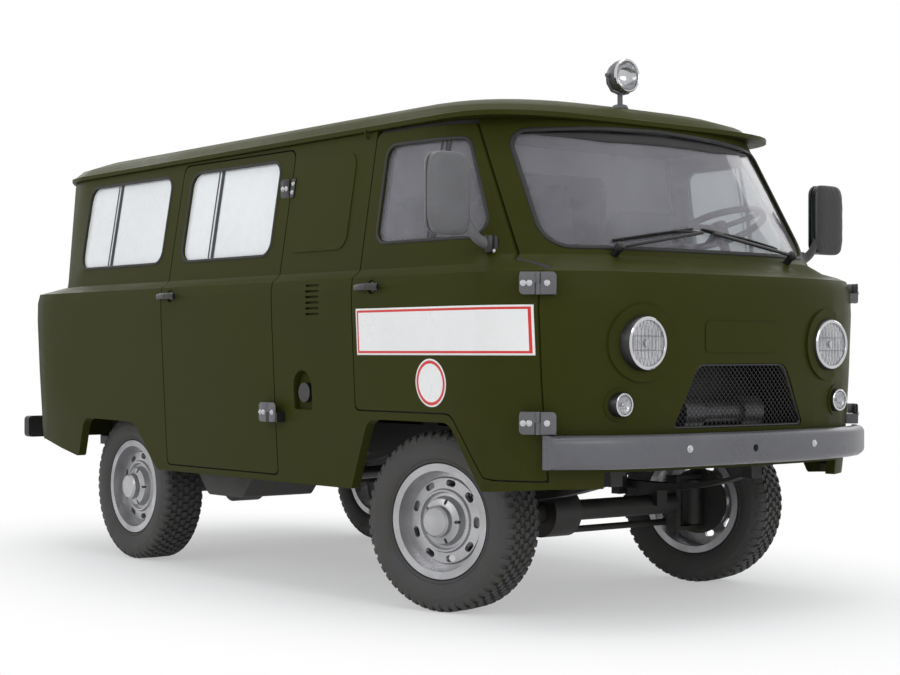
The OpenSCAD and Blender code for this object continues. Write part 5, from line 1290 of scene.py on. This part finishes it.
# A lean so slight that a cushion only stands upright
UPRIGHT = 1e-9
# Share of the outline and rise of each ring of the mirror glass
MIRROR_LEVELS = [(1.0, 0.0), (1.0, 0.0022), (0.975, 0.0032), (0.85, 0.0040), (0.6, 0.0048), (0.3, 0.0053),
                 (0.02, 0.0055)]


def bolt(met, radius):
    """A washer and a six-sided domed head on a face."""
    place, facing = met
    washer = [(0.0, 0.0), (1.45, 0.0), (1.45, 0.16), (1.3, 0.26), (0.0, 0.26)]
    head = [(1.0, 0.0), (1.0, 0.62), (0.82, 0.86), (0.4, 0.96), (0.0, 1.0)]
    return merge([lathe([(radius * r, radius * rise) for r, rise in line], place, facing, segments)
                  for line, segments in ((washer, 18), (head, 6))])


def slab(outline, origin, axes, depth, bevel):
    """A plate of any outline with a rounded upper edge. axes are across, up and out."""
    across, up, out = (Vector(a) for a in axes)
    middle = sum(outline, Vector((0, 0))) / len(outline)
    levels = [(0.0, 0.0), (0.0, depth - bevel), (bevel * 0.3, depth - bevel * 0.3), (bevel, depth)]
    verts = []
    for inset, rise in levels:
        for point in outline:
            arm = point - middle
            spot = middle + arm * (1 - inset / arm.length)
            verts.append(Vector(origin) + across * spot.x + up * spot.y + out * rise)
    count = len(outline)
    return verts, [cap(0, count)[::-1], cap(3, count), *quads(4, count)]


def hinge_plate(start, end, low, high, origin, axes, lift, bolts):
    """A hinge plate with rounded far corners and its bolts. start is the end by the pin."""
    far = 0.016
    near = 0.003
    if start < end:
        corners = [(start, low, near), (end, low, far), (end, high, far), (start, high, near)]
    else:
        corners = [(end, low, far), (start, low, near), (start, high, near), (end, high, far)]
    across, up, out = axes
    plate = slab(rounded(corners, far, 6), origin + out * (lift - PLATE_THICK), axes, PLATE_THICK, 0.0025)
    parts = [(plate, 0)]
    for share in bolts:
        place = origin + across * (start + (end - start) * share) + up * ((low + high) / 2) + out * lift
        parts.append((bolt((place, out), bpy.context.scene.van_sizes.bolt_radius), 1))
    return parts


def door_leaf(pin, axes):
    """The door's half of a hinge: plate, bolts, the leaf behind it and its barrel."""
    low = LEAF_HIGH / 2 + 0.0005
    high = LEAF_HIGH
    plate = hinge_plate(-HINGE_NEAR, -HINGE_FAR, 0.0, high, pin, axes, HINGE_LIFT, (0.35, 0.75))
    outline = rounded(oblong(-0.064, low, -0.003, high), 0.004, 3)
    leaf = slab(outline, pin - axes[2] * 0.028, axes, 0.034, 0.002)
    barrel = lathe([(0.0052, low), (0.0085, low), (0.0092, low + 0.002), (0.0092, high - 0.002),
                    (0.0085, high), (0.0052, high)], pin, UP, 24, True)
    return [*plate, (leaf, 0), (barrel, 0)]


def front_axes(side):
    """Along, up and out of a front hinge. Along runs from the pin to the nose."""
    run = Vector((math.cos(LEAF_TURN), -side * math.sin(LEAF_TURN), 0))
    out = Vector((math.sin(LEAF_TURN), side * math.cos(LEAF_TURN), 0))
    return run, UP, out


def turned_handle(x, side):
    """A lever on a boss that stands in the door's round dish."""
    seat = at(x, side * 0.9595, HANDLE_Z)
    boss = lathe([(0.019, 0.0), (0.019, 0.004), (0.013, 0.008), (0.012, 0.030), (0.014, 0.034),
                  (0.013, 0.042), (0.008, 0.046), (0.0, 0.047)], seat, (0, side, 0), 32)
    shares = [-0.082 + 0.150 * k / 14 for k in range(15)]
    path = [at(x + s, side * (0.9975 - 1.7 * s ** 2), HANDLE_Z - 0.35 * s ** 2) for s in shares]
    return [(boss, 2), (tube(path, 0.0135, 12, False, 0.55, (0, 1, 0)), 2)]


def mirror_shell(side, word):
    """A rounded shell with a rim for its glass, on a bent arm from a foot on the door."""
    centre = at(0.4030, side * MIRROR_Y, MIRROR_Z)
    shell = cushion(centre, (0.1495, 0.0920, 0.0190), 0.0040, (), UPRIGHT, 5.0, 18)
    line = denser(rounded(oblong(-0.084, -0.1415, 0.084, 0.1415), 0.036, 8), 0.03)
    rim = tube([at(0.3790, side * MIRROR_Y + p.x, MIRROR_Z + p.y) for p in line], 0.0065, 8, True)
    foot, facing = side_point([f"front_door_{word}"], 0.407, 1.384, side)
    knots = [foot + facing * 0.012, *[at(x, side * y, z) for x, y, z in MIRROR_ARM]]
    arm = tube(smooth_line(knots, 5), 0.021, 14, False, 0.45, (1, 0, 0))
    post = lathe([(0.0, -0.032), (0.014, -0.032), (0.016, -0.028), (0.016, 0.028), (0.014, 0.032),
                  (0.0, 0.032)], foot + facing * 0.014, UP, 24)
    plate = slab(rounded(oblong(-0.030, -0.034, 0.030, 0.034), 0.012, 5), foot - facing * 0.004,
                 (facing.cross(UP).normalized(), UP, facing), 0.009, 0.002)
    tone = 0 if side < 0 else 2
    parts = [(shell, tone), (rim, tone), (arm, tone), (post, 2), (plate, 2)]
    for rise in (-0.022, 0.022):
        ahead = Vector((0.020, 0, rise))
        place = foot + ahead - facing * ahead.dot(facing) + facing * 0.005
        parts.append((bolt((place, facing), 0.005), 1))
    return parts


def smooth_line(knots, steps):
    """A curve through the knots."""
    knots = [Vector(k) for k in knots]
    line = []
    for i in range(len(knots) - 1):
        before = knots[max(0, i - 1)]
        here, there = knots[i], knots[i + 1]
        after = knots[min(len(knots) - 1, i + 2)]
        for k in range(steps):
            t = k / steps
            square = (2 * before - 5 * here + 4 * there - after) * t ** 2
            cube = (3 * here - before - 3 * there + after) * t ** 3
            line.append(0.5 * ((2 * here) + (there - before) * t + square + cube))
    return line + [knots[-1]]


class VAN_OT_hardware(bpy.types.Operator):
    """Hinges, turned handles and mirrors of the doors, and the bolts of the front bumper"""
    bl_idname = "van.hardware"
    bl_label = "Door hardware"

    def execute(self, context):
        fixed = []
        for side, word in SIDES:
            fixed += self.front_door(side, word)
            fixed += self.rear_door(side, word)
            fixed.append((bolt(front_point(["front_bumper"], side * 0.345, 0.646), BUMPER_BOLT), 1))
        fixed += hinge_plate(HINGE_NEAR, 0.056, 0.0, LEAF_HIGH, SIDE_HINGE, SIDE_AXES, HINGE_LIFT, (0.5,))
        for z in (1.662, 1.698):
            fixed.append((bolt(side_point(["body_fittings"], -0.848, z, -1), SMALL_BOLT), 1))
        toned_piece("hinge_plates_and_bolts", fixed, HARDWARE_LOOKS, "body")
        self.side_door()
        return {"FINISHED"}

    def front_door(self, side, word):
        """Makes a front door's hardware and returns the parts that stay on the body."""
        moving = []
        fixed = []
        axes = front_axes(side)
        for z in FRONT_HINGES:
            pin = at(FRONT_PIN[0], side * FRONT_PIN[1], z)
            moving += door_leaf(pin, axes)
            fixed += hinge_plate(HINGE_NEAR, HINGE_FAR, 0.0, LEAF_HIGH, pin, axes, HINGE_LIFT, (0.40,))
        moving += turned_handle(FRONT_HANDLE_X, side)
        moving += mirror_shell(side, word)
        name = f"door_hardware_{word}"
        door = toned_piece(name, moving, HARDWARE_LOOKS, f"front_door_{word}")
        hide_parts(f"front_hardware_{word}")
        return fixed

    def rear_door(self, side, word):
        """Makes the bolts of a rear door's hinges and returns those that stay on the body."""
        moving = []
        fixed = []
        for z in REAR_HINGES:
            for reach in LEAF_BOLTS:
                on_door = back_point([f"rear_door_{word}"], side * (REAR_PIN_Y - reach), z + 0.060)
                on_body = back_point(["body_fittings"], side * (REAR_PIN_Y + reach), z + 0.020)
                moving.append((bolt(on_door, SMALL_BOLT), 1))
                fixed.append((bolt(on_body, SMALL_BOLT), 1))
        toned_piece(f"rear_hinge_bolts_{word}", moving, HARDWARE_LOOKS, f"rear_door_{word}")
        return fixed

    def side_door(self):
        parts = door_leaf(SIDE_HINGE, SIDE_AXES) + turned_handle(SIDE_HANDLE_X, -1)
        skin = side_point(["side_door"], -0.905, 1.680, -1)[0]
        strap = hinge_plate(0.029, -0.034, -0.040, 0.040, skin, SIDE_AXES, 0.008, (0.3, 0.72))
        parts += [(part, 2 if tone == 0 else tone) for part, tone in strap]
        door = toned_piece("side_door_hardware", parts, HARDWARE_LOOKS, "side_door")
        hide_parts("side_hardware")


WIPER_PIVOT = (0.6935, 0.479, 1.381)
WIPER_TIP = (0.683, 0.030, 1.452)


class VAN_OT_wipers(bpy.types.Operator):
    """Wiper blades on the windscreen and the caps of their pivots"""
    bl_idname = "van.wipers"
    bl_label = "Wipers"

    def execute(self, context):
        parts = []
        for side, _ in SIDES:
            squeegee = []
            holder = []
            facings = []
            for k in range(13):
                share = k / 12
                y = side * (0.452 - 0.424 * share)
                place, facing = front_point(["windscreen"], y, 1.404 + 0.060 * share)
                squeegee.append(place + facing * 0.006)
                holder.append(place + facing * (0.012 + 0.005 * math.sin(math.pi * share)))
                facings.append(facing)
            parts.append(tube(squeegee, 0.0055, 8, False, 1.0, facings))
            parts.append(tube(holder, 0.0040, 8, False, 1.4, facings))
            tip = at(WIPER_TIP[0], side * WIPER_TIP[1], WIPER_TIP[2])
            parts.append(tube([tip, holder[9]], 0.005, 8))
            for end in (1, 6, 11):
                parts.append(tube([squeegee[end], holder[end] + facings[end] * 0.004], 0.006, 8))
            pivot = at(WIPER_PIVOT[0], side * WIPER_PIVOT[1], WIPER_PIVOT[2])
            parts.append(lathe([(0.019, -0.010), (0.019, 0.004), (0.016, 0.011), (0.008, 0.015),
                                (0.0, 0.016)], pivot, (0.72, 0, 0.69), 28))
        new_piece("wiper_blades", merge(parts), ["window rubber"], "body")
        return {"FINISHED"}


class VAN_OT_mirrors(bpy.types.Operator):
    """Glass in the door mirrors"""
    bl_idname = "van.mirrors"
    bl_label = "Mirror glass"

    def execute(self, context):
        line = denser(rounded(oblong(-0.0795, -0.1370, 0.0795, 0.1370), 0.032, 8), 0.02)
        rings = len(MIRROR_LEVELS)
        count = len(line)
        faces = [*quads(rings, count), cap(0, count), cap(rings - 1, count)]
        for side, word in SIDES:
            verts = []
            for share, rise in MIRROR_LEVELS:
                for p in line:
                    spot = at(MIRROR_GLASS_X, side * MIRROR_Y + p.x * share, MIRROR_Z + p.y * share)
                    verts.append(spot - Vector((rise, 0, 0)))
            name = f"mirror_glass_{word}"
            new_piece(name, (verts, faces), ["mirror silver"], f"front_door_{word}")
        return {"FINISHED"}


NUT_CIRCLE = 0.078
NUT_COUNT = 5
VALVE_CIRCLE = 0.168
VALVE_TURN = 0.6
HOOK_BENDS = ((0.0, 0.020), (0.010, 0.018), (0.017, 0.008), (0.017, -0.006), (0.010, -0.016), (0.0, -0.018))


class VAN_OT_small_fittings(bpy.types.Operator):
    """The rear door handle, the eave hook, and the nuts and valves of the wheels"""
    bl_idname = "van.small_fittings"
    bl_label = "Small fittings"

    def execute(self, context):
        self.rear_handle()
        self.eave_hook()
        for name, side, front in WHEELS:
            self.wheel_trim(name, side, front)
        return {"FINISHED"}

    def rear_handle(self):
        place, facing = back_point(["rear_door_right"], -0.085, 1.105)
        shield = lathe([(0.0, 0.0), (0.030, 0.0), (0.030, 0.004), (0.024, 0.008), (0.013, 0.010),
                        (0.012, 0.030), (0.014, 0.034), (0.012, 0.042), (0.0, 0.044)], place, facing, 36)
        grip = []
        for share in [k / 8 for k in range(9)]:
            bend = Vector((0, -0.105 * share, -0.012 * share ** 2))
            grip.append(place + facing * (0.034 - 0.008 * share ** 2) + bend)
        parts = merge([shield, tube(grip, 0.010, 12, False, 0.75, (1, 0, 0))])
        new_piece("rear_door_handle", parts, ["black fitting"], "rear_door_right")

    def eave_hook(self):
        place, facing = side_point(["side_panel_right", "front_door_right"], -0.365, 1.862, -1)
        path = [place + facing * out + UP * rise for out, rise in HOOK_BENDS]
        plate = lathe([(0.0, 0.0), (0.014, 0.0), (0.013, 0.003), (0.0, 0.004)], place, facing, 20)
        new_piece("eave_hook", merge([tube(path, 0.0042, 8), plate]), ["olive paint"], "body")

    def wheel_trim(self, name, side, front):
        """Nuts in the wheel's deepest slots, found by rays, and the valve."""
        centre, out = wheel_frame(side, front)
        node = PARTS["wheel_" + name]
        depths = []
        for k in range(72):
            spot = centre + spoke(out, math.radians(k)) * NUT_CIRCLE
            hit, place, _, _ = node.ray_cast(spot + out * 0.3, -out)
            depths.append((place - centre).dot(out) if hit else 9.0)
        low = min(depths)
        in_slot = [k for k, depth in enumerate(depths) if depth < low + 0.002]
        start = math.radians(sum(in_slot) / len(in_slot))
        parts = []
        for turn in turns(NUT_COUNT):
            spot = centre + spoke(out, start + turn) * NUT_CIRCLE + out * low
            parts.append(bolt((spot, out), 0.0052))
        ray = spoke(out, start + VALVE_TURN)
        _, place, _, _ = node.ray_cast(centre + ray * VALVE_CIRCLE + out * 0.3, -out)
        parts.append(tube([place, place + out * 0.016, place + out * 0.030 + ray * 0.004], 0.0042, 10))
        parts.append(lathe([(0.0055, 0.0), (0.0055, 0.010), (0.004, 0.012), (0.0, 0.0125)],
                           place + out * 0.028 + ray * 0.004, out + ray * 0.2, 10))
        new_piece("wheel_nuts_" + name, merge(parts), ["dark steel"], name_of_wheel(name))


# Height and rise of the shields' rows, then place and dent of their columns
SHIELD_ROWS = [(0.640, 0.0), (0.660, 0.018), (0.800, 0.018), (0.815, 0.010), (0.830, 0.018), (0.970, 0.018),
               (0.985, 0.0)]
SHIELD_COLUMNS = [(0.440, 0.012), (0.455, 0.0), (0.600, 0.0), (0.612, 0.006), (0.624, 0.0), (0.770, 0.0),
                  (0.785, 0.012)]
SHIELD_Y = 0.485


class VAN_OT_shields(bpy.types.Operator):
    """Splash shields between the nose and the front wheels"""
    bl_idname = "van.shields"
    bl_label = "Splash shields"

    def execute(self, context):
        parts = []
        faces = quads(len(SHIELD_COLUMNS), len(SHIELD_ROWS), wrap=False)
        for side, _ in SIDES:
            verts = [at(x, side * (SHIELD_Y + rise - dent), z)
                     for x, dent in SHIELD_COLUMNS for z, rise in SHIELD_ROWS]
            parts.append((verts, faces))
        shields = new_piece("splash_shields", merge(parts), ["black frame"], "body")
        thicken(shields, 0.0015)
        return {"FINISHED"}


# name, body, side and outline
FRONT_TRIM = oblong(-0.235, 0.830, 0.50, 1.330)
TRIMS = [
    ("front_trim_right", "front_door_right", -1, FRONT_TRIM),
    ("front_trim_left", "front_door_left", 1, FRONT_TRIM),
    ("side_trim", "side_door", -1, oblong(-1.690, 0.700, -0.965, 1.310)),
]
# Share of the outline and rise of each ring of a trim
TRIM_LEVELS = [(1.0, 0.0), (1.0, 0.004), (0.985, 0.0055), (0.955, 0.006), (0.94, 0.004), (0.915, 0.006),
               (0.6, 0.0075), (0.3, 0.0075), (0.02, 0.0075)]
# Share of the pull's length and distance from the door
PULL_KNOTS = ((-0.5, 0.004), (-0.45, 0.026), (0.0, 0.034), (0.45, 0.026), (0.5, 0.004))
PULL_LONG = 0.20


class VAN_OT_door_trims(bpy.types.Operator):
    """Sheet trims with a pressed border and a pull on the inner faces of the side doors"""
    bl_idname = "van.door_trims"
    bl_label = "Door trims"

    def execute(self, context):
        for name, body, side, corners in TRIMS:
            line = denser(rounded(corners, 0.045, 6), 0.05)
            middle = sum(line, Vector((0, 0))) / len(line)
            verts = []
            for share, rise in TRIM_LEVELS:
                for point in line:
                    spot = middle + (point - middle) * share
                    verts.append(self.inner(body, side, spot.x, spot.y, rise))
            rings = len(TRIM_LEVELS)
            faces = [cap(rings - 1, len(line)), *quads(rings, len(line))]
            knots = [self.inner(body, side, middle.x + PULL_LONG * share, middle.y + 0.14, out + 0.006)
                     for share, out in PULL_KNOTS]
            parts = [((verts, faces), 0), (tube(smooth_line(knots, 4), 0.008, 10), 1)]
            toned_piece(name, parts, ["door trim", "black fitting"], body)
        return {"FINISHED"}

    def inner(self, body, side, x, z, rise):
        """A point that stands off the door's inner face."""
        place = on_skin([body], at(x, 0, z), (0, side, 0))[0]
        return place - Vector((0, side * rise, 0))


# Seats and cab controls
def cushion(centre, half, crown, seams, lean=0.0, power=6.0, cuts=22):
    """A stuffed pad: a rounded box with a crown on its broad face and stitched seams across it."""
    verts = []
    faces = []
    grid = quads(cuts + 1, cuts + 1, wrap=False)
    for axis in range(3):
        for end in (-1, 1):
            faces += shifted(grid if end > 0 else [q[1:] + q[:1] for q in grid], len(verts))
            for i in range(cuts + 1):
                for k in range(cuts + 1):
                    spot = [0.0, 0.0, 0.0]
                    spot[axis] = float(end)
                    spot[(axis + 1) % 3] = -1 + 2 * i / cuts
                    spot[(axis + 2) % 3] = -1 + 2 * k / cuts
                    size = sum(abs(c) ** power for c in spot) ** (1 / power)
                    v = soft_point([c / size for c in spot], half, crown, seams)
                    if lean:
                        v = Vector((v.z - lean * v.x, v.y, v.x))
                    verts.append(Vector(centre) + v)
    return verts, faces


def soft_point(unit, half, crown, seams):
    """One point of a pad. x and y lie in the broad face and z points out of it."""
    x, y, z = (u * h for u, h in zip(unit, half))
    top = max(0.0, unit[2])
    swell = (1 - min(1.0, abs(unit[0])) ** 4) * (1 - min(1.0, abs(unit[1])) ** 4)
    z += crown * swell * top
    for seam in seams:
        z -= 0.007 * top * math.exp(-((unit[1] - seam) * half[1] / 0.006) ** 2)
    wrinkle = 0.0012 * math.sin(unit[0] * 17 + unit[1] * 5) * math.sin(unit[1] * 13 - unit[0] * 3)
    return Vector((x, y, z + wrinkle * top))


SEAT_SEAMS = (-0.62, -0.22, 0.22, 0.62)
SEAT_Y = 0.575
SEAT_WELD = 0.0004


class VAN_OT_seats(bpy.types.Operator):
    """Stuffed cab seats, in place of the plain CAD seats"""
    bl_idname = "van.seats"
    bl_label = "Seats"

    def execute(self, context):
        parts = []
        for side, _ in SIDES:
            y = side * SEAT_Y
            parts.append(cushion(at(-0.028, y, 1.0405), (0.213, 0.222, 0.0495), 0.012, SEAT_SEAMS))
            parts.append(cushion(at(-0.213, y, 1.350), (0.262, 0.222, 0.040), 0.012, SEAT_SEAMS, 0.06))
        seats = new_piece("stuffed_seats", merge(parts), ["seat cover"], "body")
        face_out(seats.data, SEAT_WELD)
        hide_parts("cab_seats")
        return {"FINISHED"}


# Place across the cab and radius of the blank dials
DIALS = [(0.205, 0.024), (0.130, 0.019), (0.075, 0.019), (0.020, 0.019), (-0.035, 0.019)]
DIAL_Z = 1.2640
# Foot, top and knob radius of the levers
LEVERS = [((0.10, 0.050), (0.02, 0.130, 1.440), 0.022), ((0.02, -0.040), (-0.02, -0.020, 1.330), 0.017),
          ((-0.05, -0.095), (-0.07, -0.085, 1.330), 0.017)]
PEDALS = (0.455, 0.555, 0.655)
PEDAL_TILT = Vector((0.5, 0, 0.866))
PEDAL_OUT = Vector((-0.866, 0, 0.5))


class VAN_OT_cab_controls(bpy.types.Operator):
    """Blank dials, levers and pedals in the cab"""
    bl_idname = "van.cab_controls"
    bl_label = "Cab controls"

    def execute(self, context):
        parts = []
        for y, radius in DIALS:
            parts += self.dial(y, radius)
        for foot, top, knob in LEVERS:
            parts += self.lever(foot, at(*top), knob)
        for y in PEDALS:
            parts += self.pedal(y)
        looks = ["cab plastic", "chrome", "black fitting"]
        toned_piece("cab_controls", parts, looks, "body")
        return {"FINISHED"}

    def dial(self, y, radius):
        face = on_skin(["dashboard"], at(0.2, y, DIAL_Z), (1, 0, 0))[0]
        ring = lathe([(radius * 0.86, 0.0), (radius, 0.0), (radius, 0.006), (radius * 0.93, 0.009),
                      (radius * 0.84, 0.007)], face, (-1, 0, 0), 36, True)
        disc = lathe([(radius * 0.88, 0.003), (radius * 0.4, 0.0045), (0.0, 0.005)], face, (-1, 0, 0), 36)
        return [(ring, 1), (disc, 2)]

    def lever(self, foot, top, knob):
        foot = on_skin(["engine_cover"], at(*foot, 1.6), -UP)[0]
        bend = foot.lerp(top, 0.45) + Vector((0.025, 0, 0))
        path = [foot.lerp(bend, k / 4) for k in range(4)] + [bend.lerp(top, k / 4) for k in range(5)]
        boot = lathe([(0.048, 0.0), (0.044, 0.010), (0.034, 0.018), (0.030, 0.030), (0.022, 0.038),
                      (0.016, 0.055), (0.0, 0.055)], foot, UP, 28)
        arc = [math.pi * k / 10 for k in range(11)]
        ball = lathe([(knob * math.sin(a), -knob * math.cos(a)) for a in arc], top, UP, 24)
        return [(tube(path, 0.008, 12), 1), (boot, 2), (ball, 2)]

    def pedal(self, y):
        pad = at(0.505, y, 0.745)
        axes = (Vector((0, 1, 0)), PEDAL_TILT, PEDAL_OUT)
        parts = [(block(pad, axes, (0.034, 0.042, 0.010), 0.86), 2)]
        for k in range(4):
            rib = pad + PEDAL_TILT * (0.018 * (k - 1.5)) + PEDAL_OUT * 0.011
            parts.append((block(rib, axes, (0.027, 0.0045, 0.003), 0.7), 2))
        foot = on_skin(["floor_pan"], at(0.56, y, 0.72), -UP)[0]
        arm = tube([foot, foot + Vector((0.010, 0, 0.035)), pad - PEDAL_OUT * 0.008], 0.009, 10)
        return [*parts, (arm, 0)]


PIECE_CLASSES = [
    VAN_OT_finishes, VAN_OT_smooth_skin, VAN_OT_window_rubbers, VAN_OT_door_seals, VAN_OT_sign, VAN_OT_tyres,
    VAN_OT_lamps, VAN_OT_grille, VAN_OT_hardware, VAN_OT_wipers, VAN_OT_mirrors, VAN_OT_small_fittings,
    VAN_OT_shields, VAN_OT_door_trims, VAN_OT_seats, VAN_OT_cab_controls, VAN_OT_stage,
]


class VAN_PT_panel(bpy.types.Panel):
    """Lists the van's sizes, colours and pieces"""
    bl_label = "Ambulance van"
    bl_idname = "VAN_PT_panel"
    bl_space_type = "VIEW_3D"
    bl_region_type = "UI"
    bl_category = "Ambulance"

    def draw(self, context):
        for group in (context.scene.van_colours, context.scene.van_sizes):
            for label in group.__annotations__:
                self.layout.prop(group, label)
        for piece in PIECE_CLASSES:
            self.layout.operator(piece.bl_idname)


def register():
    for one in (VanColours, VanSizes, *PIECE_CLASSES, VAN_PT_panel):
        bpy.utils.register_class(one)
    bpy.types.Scene.van_colours = PointerProperty(type=VanColours)
    bpy.types.Scene.van_sizes = PointerProperty(type=VanSizes)


def unregister():
    del bpy.types.Scene.van_sizes
    del bpy.types.Scene.van_colours
    for one in reversed((VanColours, VanSizes, *PIECE_CLASSES, VAN_PT_panel)):
        bpy.utils.unregister_class(one)


def main():
    register()
    for piece in PIECE_CLASSES:
        group, call = piece.bl_idname.split(".")
        getattr(getattr(bpy.ops, group), call)()


if __name__ == "__main__":
    main()
